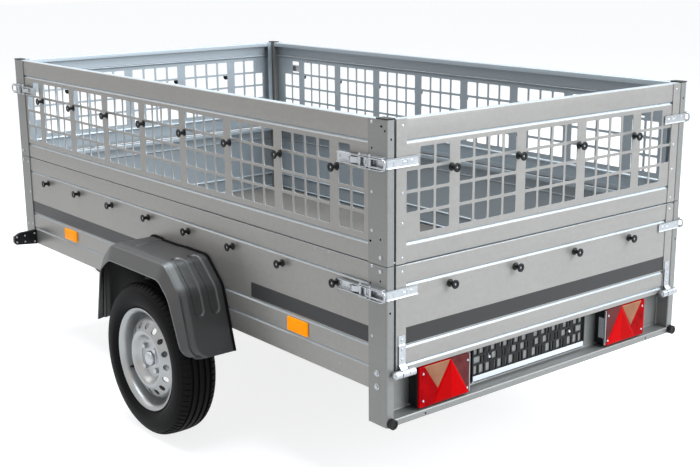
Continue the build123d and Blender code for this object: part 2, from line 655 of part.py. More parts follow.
# ---------------------------------------------------------------- axle
axle_x = WHEEL_X + AXLE_LEAD
axle_half = ARM_Y
axle = block(axle_x - AXLE_TUBE / 2, axle_x + AXLE_TUBE / 2, -axle_half, axle_half,
             AXLE_Z - AXLE_TUBE / 2, AXLE_Z + AXLE_TUBE / 2)
axle -= block(axle_x - AXLE_TUBE / 2 + AXLE_WALL, axle_x + AXLE_TUBE / 2 - AXLE_WALL, -axle_half, axle_half,
              AXLE_Z - AXLE_TUBE / 2 + AXLE_WALL, AXLE_Z + AXLE_TUBE / 2 - AXLE_WALL)
for side in (-1, 1):
    y = side * (WALL_FACE - AXLE_BRACKET_IN + BRACKET / 2)
    flange = sorted((y, y + side * BRACKET_FLANGE))
    axle += block(axle_x - BRACKET_LENGTH / 2, axle_x + BRACKET_LENGTH / 2, y - BRACKET / 2, y + BRACKET / 2,
                  AXLE_Z + AXLE_TUBE / 2, SIDE_FOOT)
    axle += block(axle_x - BRACKET_LENGTH / 2, axle_x + BRACKET_LENGTH / 2, *flange,
                  SIDE_FOOT - BRACKET, SIDE_FOOT)
save("axle_beam", axle)

hub_face = RIM_FACE_Y - HUB_INSET
hub_inner = hub_face - HUB_WIDTH


def swing_arm():
    """Left swing arm of the rubber suspension, with its stub axle."""
    arm = rod(ARM_WIDTH / 2, ARM_THICKNESS, (WHEEL_X, ARM_Y + ARM_THICKNESS / 2, TYRE_R), "y")
    arm += rod(ARM_WIDTH / 2, ARM_THICKNESS, (axle_x, ARM_Y + ARM_THICKNESS / 2, AXLE_Z), "y")
    run = hypot(AXLE_LEAD, AXLE_Z - TYRE_R)
    tilt = degrees(atan2(AXLE_Z - TYRE_R, AXLE_LEAD))
    web = Pos(WHEEL_X + AXLE_LEAD / 2, ARM_Y + ARM_THICKNESS / 2, (TYRE_R + AXLE_Z) / 2) * Rot(0, -tilt, 0)
    arm += web * Box(run, ARM_THICKNESS, ARM_WIDTH)
    stub_length = hub_face - HUB_FLANGE - ARM_Y
    return arm + rod(STUB_R, stub_length, (WHEEL_X, ARM_Y + stub_length / 2, TYRE_R), "y")


save("swing_arms", swing_arm(), other_side(swing_arm()))

# ---------------------------------------------------------------- wheels
tyre_half = TYRE_WIDTH / 2
rim_half = RIM_WIDTH / 2
tyre_y = RIM_FACE_Y - rim_half
seat_half = rim_half - RIM_LIP


def tyre():
    """Solid tyre ring on the rim's bead seat, with rounded walls."""
    half_ring = [(TYRE_R - share * (TYRE_R - RIM_R), tyre_half - inside) for share, inside in TYRE_SECTION]
    half_ring += [(RIM_R + 1, seat_half), (BEAD_R, seat_half)]
    profile = [(TYRE_R, 0)] + half_ring + [(r, -y) for r, y in reversed(half_ring)]
    return turned(profile, (WHEEL_X, tyre_y, TYRE_R))


def wheel_circle(diameter, count, turn):
    """Places round the axle; turn is the first one's angle as a share of a step."""
    places = []
    for k in range(count):
        angle = radians(360 * (k + turn) / count)
        places.append((WHEEL_X + diameter / 2 * cos(angle), TYRE_R + diameter / 2 * sin(angle)))
    return places


def rim():
    """Pressed steel wheel: barrel with two flanges, and a dished disc with vents and bolt holes."""
    barrel = [(BEAD_R - RIM_SHEET, -rim_half), (RIM_R, -rim_half), (RIM_R, -rim_half + RIM_LIP / 2),
              (BEAD_R + 5, -seat_half), (BEAD_R, -seat_half), (BEAD_R, seat_half), (BEAD_R + 5, seat_half),
              (RIM_R, rim_half - RIM_LIP / 2), (RIM_R, rim_half), (BEAD_R - RIM_SHEET, rim_half)]
    crest = rim_half - CREST
    outer = [(radius, crest - depth) for radius, depth in DISC_SECTION]
    inner = [(radius, distance - DISC_SHEET) for radius, distance in reversed(outer)]
    disc = turned(outer + inner, (WHEEL_X, tyre_y, TYRE_R))
    holes = []
    for radius, places in ((VENT_R, wheel_circle(VENT_CIRCLE, VENTS, 0)),
                           (BOLT_HOLE_R, wheel_circle(BOLT_CIRCLE, BOLTS, 0.5))):
        holes += [rod(radius, RIM_WIDTH, (x, RIM_FACE_Y, z), "y") for x, z in places]
    return turned(barrel, (WHEEL_X, tyre_y, TYRE_R)) + disc.cut(*holes)


def hub():
    """Hub on the stub axle, with bolts through the wheel disc and a dust cap."""
    section = list(CAP_SECTION) + [(HUB_FACE_R, 0), (HUB_FACE_R, -HUB_FLANGE), (HUB_R, -HUB_FLANGE),
                                   (HUB_R, -HUB_WIDTH), (0, -HUB_WIDTH)]
    body = turned(section, (WHEEL_X, hub_face, TYRE_R))
    for x, z in wheel_circle(BOLT_CIRCLE, BOLTS, 0.5):
        body += rod(BOLT_HOLE_R - BOLT_FIT, DISC_SHEET, (x, hub_face + DISC_SHEET / 2, z), "y")
        corners = [(x + NUT_R * cos(radians(60 * k)), hub_face + DISC_SHEET, z + NUT_R * sin(radians(60 * k)))
                   for k in range(6)]
        body += prism(corners, (0, NUT_HEIGHT, 0))
    bore_end = hub_face - HUB_FLANGE + STUB_END
    bore_length = bore_end - hub_inner
    return body - rod(STUB_R + STUB_FIT, bore_length, (WHEEL_X, bore_end - bore_length / 2, TYRE_R), "y")


for name, place in (("left", same), ("right", other_side)):
    save(f"tyre_{name}", place(tyre()))
    save(f"rim_{name}", place(rim()))
    save(f"hub_{name}", place(hub()))

# ---------------------------------------------------------------- mudguards
def inset(points, distance):
    """The open outline moved towards the wheel by distance, with mitred corners."""
    normals = []
    for (x0, z0), (x1, z1) in zip(points, points[1:]):
        size = hypot(x1 - x0, z1 - z0)
        normals.append(((z0 - z1) / size, (x1 - x0) / size))
    corners = []
    for i, (x, z) in enumerate(points):
        (ax, az), (bx, bz) = normals[max(i - 1, 0)], normals[min(i, len(normals) - 1)]
        mitre = distance / (1 + ax * bx + az * bz)
        corners.append((x + mitre * (ax + bx), z + mitre * (az + bz)))
    return corners


def guard_form(crease, lip, spans, foot):
    """Arch with its top from the first span to the crease and a band to the lip; feet longer by foot."""
    rings = []
    for points, y in zip((crease, crease, lip, lip), spans):
        corners = [(points[0][0], points[0][1] - foot)] * (foot > 0) + points
        corners += [(points[-1][0], points[-1][1] - foot)] * (foot > 0)
        rings.append(Wire.make_polygon([Vector(WHEEL_X + x, WALL_FACE + y, TYRE_R + z) for x, z in corners]))
    return Solid.make_loft(rings, True)


def mudguard():
    """Left mudguard: an arch of flats with a band down its outer side and a flange on the wall."""
    crease, lip = [], []
    for crease_angle, crease_gap, lip_angle, lip_gap in GUARD_CORNERS:
        for line, angle, gap in ((crease, crease_angle, crease_gap), (lip, lip_angle, lip_gap)):
            line.append(((TYRE_R + gap) * cos(radians(angle)), (TYRE_R + gap) * sin(radians(angle))))
    mouth = inset(lip, GUARD_LIP)
    skin = guard_form(crease, lip, (0, GUARD_CREASE, GUARD_OUT), 0)
    hollow_spans = (GUARD, GUARD_CREASE - GUARD / 2, GUARD_OUT, GUARD_OUT + GUARD)
    skin -= guard_form(inset(crease, GUARD), mouth, hollow_spans, GUARD_CUT)
    flange_cut = [(mouth[0][0], mouth[0][1] - GUARD_CUT)] + mouth + [(mouth[-1][0], mouth[-1][1] - GUARD_CUT)]
    skin -= prism([(WHEEL_X + x, WALL_FACE, TYRE_R + z) for x, z in flange_cut], (0, GUARD, 0))
    foot_x, foot_z = WHEEL_X + crease[-1][0], TYRE_R + lip[-1][1]
    corner_y = WALL_FACE + GUARD_OUT - GUARD_CORNER
    corner = block(foot_x - GUARD, foot_x + GUARD_CORNER, corner_y, corner_y + GUARD_CORNER,
                   foot_z - GUARD, foot_z + GUARD_CORNER)
    corner -= rod(GUARD_CORNER, 4 * GUARD_CORNER, (foot_x, corner_y, foot_z + GUARD_CORNER), "x")
    return skin - corner


save("mudguard_left", mudguard())
save("mudguard_right", other_side(mudguard()))

# ---------------------------------------------------------------- drawbar and coupling
arm_end_x = BALL_X - DRAWBAR_TAIL
arm_width, arm_height = ARM_TUBE


def drawbar_arm():
    """Left arm of the V drawbar, a box tube cut square across the trailer at both ends."""
    start, stop = DRAWBAR_SPREAD, DRAWBAR_NOSE
    slope = hypot(arm_end_x - DRAWBAR_START, start - stop) / (arm_end_x - DRAWBAR_START)
    shapes = []
    for half, drop in ((arm_width / 2 * slope, 0), ((arm_width / 2 - ARM_WALL) * slope, ARM_WALL)):
        z0 = ARM_TOP - arm_height + drop
        foot = [(DRAWBAR_START, start - half, z0), (DRAWBAR_START, start + half, z0),
                (arm_end_x, stop + half, z0), (arm_end_x, stop - half, z0)]
        shapes.append(prism(foot, (0, 0, arm_height - 2 * drop)))
    return shapes[0] - shapes[1]


save("drawbar_arms", drawbar_arm(), other_side(drawbar_arm()))
head_start = arm_end_x - HEAD_LENGTH
head_half = DRAWBAR_NOSE + arm_width
head_plates = []
for plate_foot in (ARM_TOP, ARM_TOP - arm_height - HEAD_PLATE):
    head_plates.append(block(head_start, arm_end_x + HEAD_OVER, -head_half, head_half,
                             plate_foot, plate_foot + HEAD_PLATE))
save("drawbar_head", *head_plates)

cup_low = BALL_Z - CUP
neck_low = ARM_TOP + HEAD_PLATE
neck_high = neck_low + COUPLING_HEIGHT
neck = block(head_start + HEAD_OVER, BALL_X, -COUPLING_NECK / 2, COUPLING_NECK / 2, neck_low, neck_high)
neck = fillet(neck.edges().filter_by(Axis.X).group_by(Axis.Z)[-1], COUPLING_BEND)
cup_side = [(NOSE_REACH - inside, cup_low + share * (neck_high - cup_low)) for inside, share in CUP_SECTION]
cup = Rot(90, 0, 0) * turned([(0, cup_low)] + cup_side + [(0, neck_high)], (0, 0, 0))
coupling = neck + Pos(BALL_X, 0, 0) * cup
coupling -= Pos(BALL_X, 0, BALL_Z) * Sphere(BALL_R)
coupling -= rod(BALL_R, CUP, (BALL_X, 0, BALL_Z - CUP / 2), "z")
coupling += prism([(BALL_X - back, -HANDLE_WIDTH / 2, neck_high + rise) for back, rise in HANDLE_SIDE],
                  (0, HANDLE_WIDTH, 0))
save("coupling", coupling)

# ---------------------------------------------------------------- jockey wheel
jockey_share = (JOCKEY_X - DRAWBAR_START) / (arm_end_x - DRAWBAR_START)
spread_here = DRAWBAR_SPREAD + (DRAWBAR_NOSE - DRAWBAR_SPREAD) * jockey_share
clamp_half = spread_here + arm_width / 2
outer_bore = JOCKEY_R - JOCKEY_WALL
clamp = block(JOCKEY_X - CLAMP_LENGTH / 2, JOCKEY_X + CLAMP_LENGTH / 2, -clamp_half, clamp_half,
              ARM_TOP, ARM_TOP + HEAD_PLATE)
clamp += rod(JOCKEY_R + CLAMP_WALL, CLAMP_HEIGHT, (JOCKEY_X, 0, ARM_TOP + CLAMP_HEIGHT / 2), "z")
clamp += block(JOCKEY_X + JOCKEY_R, JOCKEY_X + JOCKEY_R + CLAMP_EAR, -CLAMP_WALL, CLAMP_WALL,
               ARM_TOP + HEAD_PLATE, ARM_TOP + CLAMP_HEIGHT)
clamp -= rod(JOCKEY_R, 4 * CLAMP_HEIGHT, (JOCKEY_X, 0, ARM_TOP), "z")
save("jockey_clamp", clamp)

tube_length = JOCKEY_TUBE_TOP - JOCKEY_TUBE_FOOT
outer_tube = rod(JOCKEY_R, tube_length, (JOCKEY_X, 0, JOCKEY_TUBE_FOOT + tube_length / 2), "z")
bore_length = tube_length - TUBE_CAP
outer_tube -= rod(outer_bore, bore_length, (JOCKEY_X, 0, JOCKEY_TUBE_FOOT + bore_length / 2), "z")
crank_z = JOCKEY_TUBE_TOP + CRANK_RISE
outer_tube += rod(CRANK_R + CRANK_BOSS, 2 * CRANK_RISE, (JOCKEY_X, 0, JOCKEY_TUBE_TOP + CRANK_RISE), "z")
outer_tube += rod(CRANK_R, CRANK_REACH, (JOCKEY_X + CRANK_REACH / 2, 0, crank_z), "x")
outer_tube += rod(GRIP_R, GRIP, (JOCKEY_X + CRANK_REACH - GRIP_R, 0, crank_z + GRIP / 2 - CRANK_R / 2), "z")
save("jockey_tube", outer_tube)

stem_r = outer_bore - JOCKEY_FIT
stem_foot = JOCKEY_CROWN + CROWN_GAP
stem_length = JOCKEY_STEM_TOP - stem_foot
stem = rod(stem_r, stem_length, (JOCKEY_X, 0, stem_foot + stem_length / 2), "z")
stem -= rod(stem_r - JOCKEY_WALL, stem_length, (JOCKEY_X, 0, stem_foot + stem_length / 2 + STEM_FLOOR), "z")
stem += rod(PIVOT_R, PIVOT_LENGTH, (JOCKEY_X, 0, stem_foot - PIVOT_LENGTH / 2), "z")
save("jockey_stem", stem)

wheel_x = JOCKEY_X - JOCKEY_TRAIL
fork_half = JOCKEY_WHEEL_WIDTH / 2 + FORK_GAP
crown_back, crown_front = wheel_x - CROWN_OVER, JOCKEY_X + JOCKEY_R
fork = block(crown_back, crown_front, -fork_half - FORK, fork_half + FORK, JOCKEY_CROWN - FORK, JOCKEY_CROWN)
for side in (-1, 1):
    y0 = min(side * fork_half, side * (fork_half + FORK))
    cheek_z = JOCKEY_WHEEL_R - CHEEK_TIP
    cheek = [(crown_front, y0, JOCKEY_CROWN), (crown_back, y0, JOCKEY_CROWN),
             (wheel_x - CHEEK_TIP, y0, cheek_z), (wheel_x + CHEEK_TIP, y0, cheek_z)]
    fork += prism(cheek, (0, FORK, 0))
fork -= rod(PIVOT_R + HINGE_FIT, 60, (JOCKEY_X, 0, JOCKEY_CROWN), "z")
fork += rod(JOCKEY_AXLE_R, 2 * (fork_half + FORK), (wheel_x, 0, JOCKEY_WHEEL_R), "y")
save("jockey_fork", fork)

half_width = JOCKEY_WHEEL_WIDTH / 2
ring = [(JOCKEY_HUB_R, -half_width), (JOCKEY_WHEEL_R - 8, -half_width), (JOCKEY_WHEEL_R - 2, -half_width + 7),
        (JOCKEY_WHEEL_R, -half_width + 14), (JOCKEY_WHEEL_R, half_width - 14),
        (JOCKEY_WHEEL_R - 2, half_width - 7), (JOCKEY_WHEEL_R - 8, half_width), (JOCKEY_HUB_R, half_width)]
save("jockey_tyre", turned(ring, (wheel_x, 0, JOCKEY_WHEEL_R)))
core = [(JOCKEY_AXLE_R + HINGE_FIT, -half_width), (18, -half_width), (20, -7), (JOCKEY_HUB_R - 8, -7),
        (JOCKEY_HUB_R - 6, -half_width + 3), (JOCKEY_HUB_R, -half_width + 3), (JOCKEY_HUB_R, half_width - 3),
        (JOCKEY_HUB_R - 6, half_width - 3), (JOCKEY_HUB_R - 8, 7), (20, 7), (18, half_width),
        (JOCKEY_AXLE_R + HINGE_FIT, half_width)]
save("jockey_hub", turned(core, (wheel_x, 0, JOCKEY_WHEEL_R)))
print("origin at station", CENTRE_X, "ball", BALL_X - CENTRE_X, "wheel", WHEEL_X - CENTRE_X)
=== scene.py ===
# %% [markdown]
# # A utility trailer, dressed
# The frame below holds every structural piece of the trailer at its real size: walls, posts, gates, axle,
# drawbar. This file gives each of them its finish and makes the thin, pressed and moulded pieces again as
# surfaces: folded walls, tyres with their tread, pressed wheels, mudguards, lamps, latches, knobs and
# rivets. The numbers are metres. X points forward along the drawbar, Y to the left side, Z up.

# %% The frame
import json
import math

import bmesh
import bpy
import numpy as np
from mathutils import Matrix, Vector


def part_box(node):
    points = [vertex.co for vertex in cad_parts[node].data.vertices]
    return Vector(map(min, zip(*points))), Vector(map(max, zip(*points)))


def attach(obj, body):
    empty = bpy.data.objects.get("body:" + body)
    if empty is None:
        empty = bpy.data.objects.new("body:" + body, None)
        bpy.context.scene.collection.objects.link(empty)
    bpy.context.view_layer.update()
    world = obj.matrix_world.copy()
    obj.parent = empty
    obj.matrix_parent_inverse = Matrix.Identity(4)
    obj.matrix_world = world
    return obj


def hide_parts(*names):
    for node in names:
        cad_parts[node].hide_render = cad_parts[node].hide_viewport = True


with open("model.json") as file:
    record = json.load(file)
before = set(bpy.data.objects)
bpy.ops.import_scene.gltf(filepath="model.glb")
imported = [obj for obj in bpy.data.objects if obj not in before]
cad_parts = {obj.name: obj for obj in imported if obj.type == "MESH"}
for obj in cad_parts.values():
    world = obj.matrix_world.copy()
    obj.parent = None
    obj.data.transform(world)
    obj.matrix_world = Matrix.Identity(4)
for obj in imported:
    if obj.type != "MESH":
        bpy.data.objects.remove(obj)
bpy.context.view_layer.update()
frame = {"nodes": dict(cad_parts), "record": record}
print("pieces in the frame:", len(frame["nodes"]))

# %% [markdown]
# ## Where things are
# A new piece sits on what carries it, so its place is read from the frame and never typed twice. A few
# boxes are enough to name the corners of the load box and the wheel.

# %% Places read from the frame
def span(node):
    """Lowest and highest corner of a node, as two arrays."""
    low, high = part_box(node)
    return np.array(low), np.array(high)


posts_low, posts_high = span("corner_posts_upper")
wall_low, wall_high = span("side_wall_left")
mesh_low, mesh_high = span("mesh_wall_left")
gate_low, gate_high = span("tailgate_panel")
front_low, front_high = span("front_board")
tyre_low, tyre_high = span("tyre_left")
rim_low, rim_high = span("rim_left")
REAR = posts_low[0]  # rear face of the corner posts
FRONT = posts_high[0]
SIDE = posts_high[1]  # outer face of the left posts
WALL = wall_high[1]  # outer face of the left wall
SPLIT = wall_high[2]  # joint between the lower walls and the mesh extension
TOP = mesh_high[2]
REAR_FACE = gate_low[0]  # outer face of the tailgate
FRONT_FACE = front_high[0]
MIDDLE = (REAR + FRONT) / 2
WHEEL = (tyre_low + tyre_high) / 2
print("rear", REAR, "front", FRONT, "side", SIDE, "split", SPLIT, "top", TOP)

# %% [markdown]
# ## The camera
# A trailer is seen at a standing person's eye height, from behind a rear corner, through a lens a little
# longer than normal. The camera is built from its place, its angles and a focal length in pixels.

# %% Camera
PICTURE_WIDTH = 700
FOCAL_PIXELS = 1164.29
SENSOR = 36
CAMERA_PLACE = Vector((-4.0227, 2.6552, 1.618))
CAMERA_YAW = -0.6831
CAMERA_PITCH = 0.2415
CAMERA_ROLL = -0.007


def camera_matrix(place, yaw, pitch, roll):
    """Rows of the camera's axes: right, up and back, turned by roll about the line of sight."""
    ahead = Vector((math.cos(yaw) * math.cos(pitch), math.sin(yaw) * math.cos(pitch), -math.sin(pitch)))
    level = Vector((math.sin(yaw), -math.cos(yaw), 0))
    above = level.cross(ahead)
    right = math.cos(roll) * level + math.sin(roll) * above
    up = right.cross(ahead)
    return Matrix.Translation(place) @ Matrix((right, up, -ahead)).transposed().to_4x4()


lens = bpy.data.cameras.new("camera")
lens.sensor_width = SENSOR
lens.lens = FOCAL_PIXELS * SENSOR / PICTURE_WIDTH
camera = bpy.data.objects.new("camera", lens)
camera.matrix_world = camera_matrix(CAMERA_PLACE, CAMERA_YAW, CAMERA_PITCH, CAMERA_ROLL)
bpy.context.scene.collection.objects.link(camera)
bpy.context.scene.camera = camera
print("lens", round(lens.lens, 2), "mm")

# %% [markdown]
# ## Writing materials as sums
# A material is a small calculation: noise times a strength, plus a colour. Wiring Math nodes by hand hides
# that, so a wrapped socket lets Python's own operators add the nodes, and one method makes every other
# node.

# %% Shader arithmetic
def operator(operation, swapped=False):
    """A method that adds a Math node: the value comes first, or second where Python swaps the two."""
    def method(self, other):
        first, second = (other, self) if swapped else (self, other)
        return self.math(operation, first, second)
    return method


class Value:
    """One output socket: + - * / % and comparisons with numbers or other values add Math nodes."""

    def __init__(self, paint, socket):
        self.paint = paint
        self.socket = socket

    def math(self, operation, first, second):
        return self.paint.node("ShaderNodeMath", {"operation": operation}, {0: first, 1: second})

    __add__ = __radd__ = operator("ADD")
    __sub__ = operator("SUBTRACT")
    __rsub__ = operator("SUBTRACT", swapped=True)
    __mul__ = __rmul__ = operator("MULTIPLY")
    __truediv__ = operator("DIVIDE")
    __mod__ = operator("FLOORED_MODULO")
    __gt__ = operator("GREATER_THAN")
    __lt__ = operator("LESS_THAN")

    def __abs__(self):
        return self.math("ABSOLUTE", self, 0)


class Paint:
    def __init__(self, name, kind="materials", shader="Principled BSDF"):
        self.owner = getattr(bpy.data, kind).new(name)
        self.owner.use_nodes = True
        self.tree = self.owner.node_tree
        self.shader = self.tree.nodes[shader]

    def fill(self, socket, value):
        """Another node's output is linked to the socket; anything else becomes its value."""
        if isinstance(value, Value):
            self.tree.links.new(value.socket, socket)
        else:
            socket.default_value = value

    def node(self, kind, settings=(), sockets=(), output=0):
        """A node of this kind: settings first, then its sockets by name or number; returns one output."""
        made = self.tree.nodes.new(kind)
        for name, value in dict(settings).items():
            setattr(made, name, value)
        for name, value in dict(sockets).items():
            self.fill(made.inputs[name], value)
        return Value(self, made.outputs[output])

    def place(self, scale=(1, 1, 1)):
        """Position on the piece in metres, times scale."""
        spot = self.node("ShaderNodeTexCoord", output="Object")
        return self.node("ShaderNodeMapping", {}, {"Vector": spot, "Scale": scale})

    def noise(self, scale, detail=2.0, stretch=(1, 1, 1)):
        """Soft noise from 0 to 1; scale counts blots per metre."""
        sockets = {"Vector": self.place(stretch), "Scale": scale, "Detail": detail}
        return self.node("ShaderNodeTexNoise", {}, sockets)

    def cells(self, scale, output="Distance"):
        """Voronoi cells, scale of them per metre: the distance to a cell's seed, or the cell's own Color."""
        return self.node("ShaderNodeTexVoronoi", {}, {"Vector": self.place(), "Scale": scale}, output=output)

    def axis(self, name):
        """One coordinate of the point, in metres."""
        return self.node("ShaderNodeSeparateXYZ", {}, {"Vector": self.place()}, output=name)

    def between(self, value, low, high):
        """1 where value lies between low and high."""
        return (value > low) * (value < high)

    def mix(self, share, first, second):
        """Colour between first and second."""
        sockets = {"Factor": share, 6: first, 7: second}
        return self.node("ShaderNodeMix", {"data_type": "RGBA"}, sockets, output=2)

    def bump(self, height, depth):
        """Normal for a relief of this height from 0 to 1, depth metres deep."""
        return self.node("ShaderNodeBump", {}, {"Height": height, "Distance": depth, "Strength": 1.0})

    def finish(self, **sockets):
        """Principled sockets by name, with _ for a space."""
        for name, value in sockets.items():
            self.fill(self.shader.inputs[name.replace("_", " ")], value)
        return self.owner


def rgb(red, green, blue):
    """Colour written as on a screen, 0 to 255, turned into the light it stands for."""
    screen = np.array((red, green, blue)) / 255
    light = np.where(screen <= 0.04045, screen / 12.92, ((screen + 0.055) / 1.055) ** 2.4)
    return (*light.tolist(), 1.0)


print("grey 143 is", rgb(143, 143, 143)[0])

# %% [markdown]
# ## Zinc
# The walls are rolled sheet with a thin coat of zinc. It is matt, and its crystals show as faint blots of
# lighter and darker grey a centimetre across; rolling leaves fine streaks along the sheet. Voronoi cells
# give crystals, and a noise that is stretched along the sheet gives streaks. The streaks go into colour and
# roughness, and the relief stays almost flat, because sheet steel is smooth to the hand. The inner skins
# get a cooler and lighter colour than the outer ones, painted light that stands in for the cool sky light
# inside the box, so a mask on the point's place tells them apart. The dark film stripe is part of the
# wall's material: it lies between two heights, and ends on a slant where the mudguard begins, so its mask
# is a handful of comparisons on the point's own coordinates.

# %% Galvanised sheet and steel
SHEET_METAL = 0.45  # how far the rolled sheet mirrors as a metal
SHEET_GLOSS = 0.3
SHEET_RELIEF = 0.0003
STRIPE_LOW = 0.539
STRIPE_HIGH = 0.587
STRIPE_COLOUR = rgb(52, 51, 51)
SKIN = 0.001  # a point this close to an outer face is on the outer skin
STRIPE_SIDE = WALL - SKIN
SIDE_STRIPES = ((REAR + 0.079, REAR + 0.66), (REAR + 1.135, FRONT - 0.079))
# painted light: the inner skins' colour is cooler and lighter, standing in for the sky light that fills the
# box
INNER_PAINTED_SKYLIGHT = rgb(168, 175, 180)
STRIPE_SLANT = 1.6  # run of the cut ends over their height
END_STRIPE = 0.589  # half length of the stripe across the rear


def zinc(paint, light, dark, crystal, streak):
    """Colour of zinc: crystals per metre blended with streaks along X and Y."""
    tone = paint.node("ShaderNodeRGBToBW", {}, {"Color": paint.cells(crystal, "Color")})
    lines = paint.noise(streak, 3.0, (0.05, 0.05, 1))
    cloud = paint.noise(3.0)
    share = tone * 0.25 + lines * 0.35 + cloud * 0.4
    return paint.mix(share, dark, light), tone, lines


def stripe_mask(paint):
    """1 on the dark film: two lengths along each side, one cut on a slant, and one across the rear."""
    along, across, height = paint.axis("X"), paint.axis("Y"), paint.axis("Z")
    band = paint.between(height, STRIPE_LOW, STRIPE_HIGH)
    slant = (height - STRIPE_LOW) * STRIPE_SLANT
    (rear_from, rear_to), (front_from, front_to) = SIDE_STRIPES
    rear_length = paint.between(along, rear_from, rear_to)
    front_length = (along > front_from + slant) * (along < front_to)
    sides = (abs(across) > STRIPE_SIDE) * (rear_length + front_length)
    ends = (abs(across) < END_STRIPE) * (along < REAR_FACE + SKIN)
    return band * (sides + ends)


def sheet_material(name, striped):
    """Rolled zinc sheet, with a cooler, lighter colour on the inner skins as painted sky light, and the dark
    film if striped.
    """
    paint = Paint(name)
    colour, tone, lines = zinc(paint, rgb(166, 162, 157), rgb(146, 142, 138), 90, 60)
    # mask of the inner skins, which get the painted sky light colour
    inside = paint.between(paint.axis("X"), REAR_FACE + SKIN, FRONT_FACE - SKIN)
    inside = inside * (abs(paint.axis("Y")) < STRIPE_SIDE)
    colour = paint.mix(inside, colour, INNER_PAINTED_SKYLIGHT)
    rough = 0.32 + tone * 0.05 + lines * 0.08
    metal = SHEET_METAL
    if striped:
        film = stripe_mask(paint)
        colour = paint.mix(film, colour, STRIPE_COLOUR)
        metal = SHEET_METAL - film * SHEET_METAL
    return paint.finish(Base_Color=colour, Roughness=rough, Metallic=metal, Specular_IOR_Level=SHEET_GLOSS,
                        Normal=paint.bump(lines, SHEET_RELIEF))


def steel_material(name, light, dark, metallic, rough, relief):
    """Thicker dipped or plated zinc with small crystals and a slightly uneven coat."""
    paint = Paint(name)
    colour, tone, lines = zinc(paint, light, dark, 160, 40)
    blots = paint.noise(220)
    return paint.finish(Base_Color=colour, Roughness=rough + tone * 0.1 + lines * 0.05, Metallic=metallic,
                        Normal=paint.bump(blots, relief))


galvanised_sheet = sheet_material("galvanised sheet", striped=False)
striped_sheet = sheet_material("galvanised sheet with film", striped=True)
# light and dark tone, then how far it mirrors as a metal, its roughness and its relief
STEEL_TONES = rgb(148, 147, 143), rgb(126, 125, 123)
BRIGHT_TONES = rgb(196, 199, 202), rgb(156, 159, 163)
galvanised_steel = steel_material("galvanised steel", *STEEL_TONES, 0.45, 0.34, 0.0003)
bright_zinc = steel_material("bright zinc", *BRIGHT_TONES, 0.85, 0.26, 0.00006)
print("zinc materials:", galvanised_sheet.name, galvanised_steel.name, bright_zinc.name)

# %% [markdown]
# ## Plastics, rubber and board
# Moulded plastic takes its grain from the mould: a leathery noise of half a millimetre in the bump. Rubber
# is the same with a duller grain. The floor is plywood pressed between brown films with a wire pattern. A
# reflector throws light back to whoever looks at it, which a little glow of its own stands in for.

# %% Other finishes
def grained(name, colour, rough, gloss, grain, depth):
    """Moulded plastic or rubber: even colour with a fine leathery grain."""
    paint = Paint(name)
    dots = paint.noise(grain, 3.0)
    cloud = paint.noise(6.0)
    shade = paint.mix(cloud, colour, [1.25 * c for c in colour[:3]] + [1])
    return paint.finish(Base_Color=shade, Roughness=rough + dots * 0.12, Specular_IOR_Level=gloss,
                        Normal=paint.bump(dots, depth))


# roughness, specular level, grain per metre and its depth
black_plastic = grained("black plastic", rgb(20, 20, 21), 0.34, 0.22, 900, 0.0003)
guard_plastic = grained("mudguard plastic", rgb(32, 32, 33), 0.36, 0.9, 700, 0.0003)
# painted highlight: the lip bead's lighter plastic stands in for the light line along the mudguard's lip
lip_highlight_plastic = grained("lip highlight plastic", rgb(104, 104, 105), 0.40, 0.6, 700, 0.0003)
tyre_rubber = grained("tyre rubber", rgb(15, 14, 15), 0.50, 0.08, 500, 0.0003)
buffer_rubber = grained("buffer rubber", rgb(34, 33, 32), 0.50, 0.2, 300, 0.0004)
# painted shade: near black for the dark inside of the holes and for the shaded gap along the mudguard's
# flange
painted_shade_black = grained("painted shade black", rgb(10, 10, 11), 0.80, 0.1, 300, 0.0001)
white_film = grained("white strip", rgb(226, 227, 230), 0.35, 0.4, 400, 0.0001)
WIRE = 0.006  # pitch of the floor's wire pattern


def board_material():
    """Film-faced plywood: brown film pressed with a wire pattern."""
    paint = Paint("floor board")
    wire = abs(paint.axis("X") % WIRE - WIRE / 2) + abs(paint.axis("Y") % WIRE - WIRE / 2)
    cloud = paint.noise(8.0, 4.0)
    colour = paint.mix(cloud, rgb(82, 77, 73), rgb(106, 100, 95))
    return paint.finish(Base_Color=colour, Roughness=0.42 + cloud * 0.15, Normal=paint.bump(wire, 0.2))


def paint_material():
    """Silver enamel sprayed on a pressed wheel."""
    paint = Paint("silver paint")
    flake = paint.noise(1800, 1.0)
    cloud = paint.noise(12)
    colour = paint.mix(cloud, rgb(156, 157, 158), rgb(172, 173, 174))
    return paint.finish(Base_Color=colour, Roughness=0.30 + flake * 0.1, Metallic=0.8, Coat_Weight=0.15)


def lens_material(name, colour, scale, glow):
    """Coloured acrylic with a prism pattern behind its smooth face; glow is painted light that stands in for
    the light it throws back.
    """
    paint = Paint(name)
    prisms = paint.cells(scale)
    shade = paint.mix(prisms * 0.8, colour, [0.6 * c for c in colour[:3]] + [1])
    return paint.finish(Base_Color=shade, Roughness=0.14, Specular_IOR_Level=0.04, Emission_Color=colour,
                        Emission_Strength=glow, Normal=paint.bump(prisms, 0.0004))


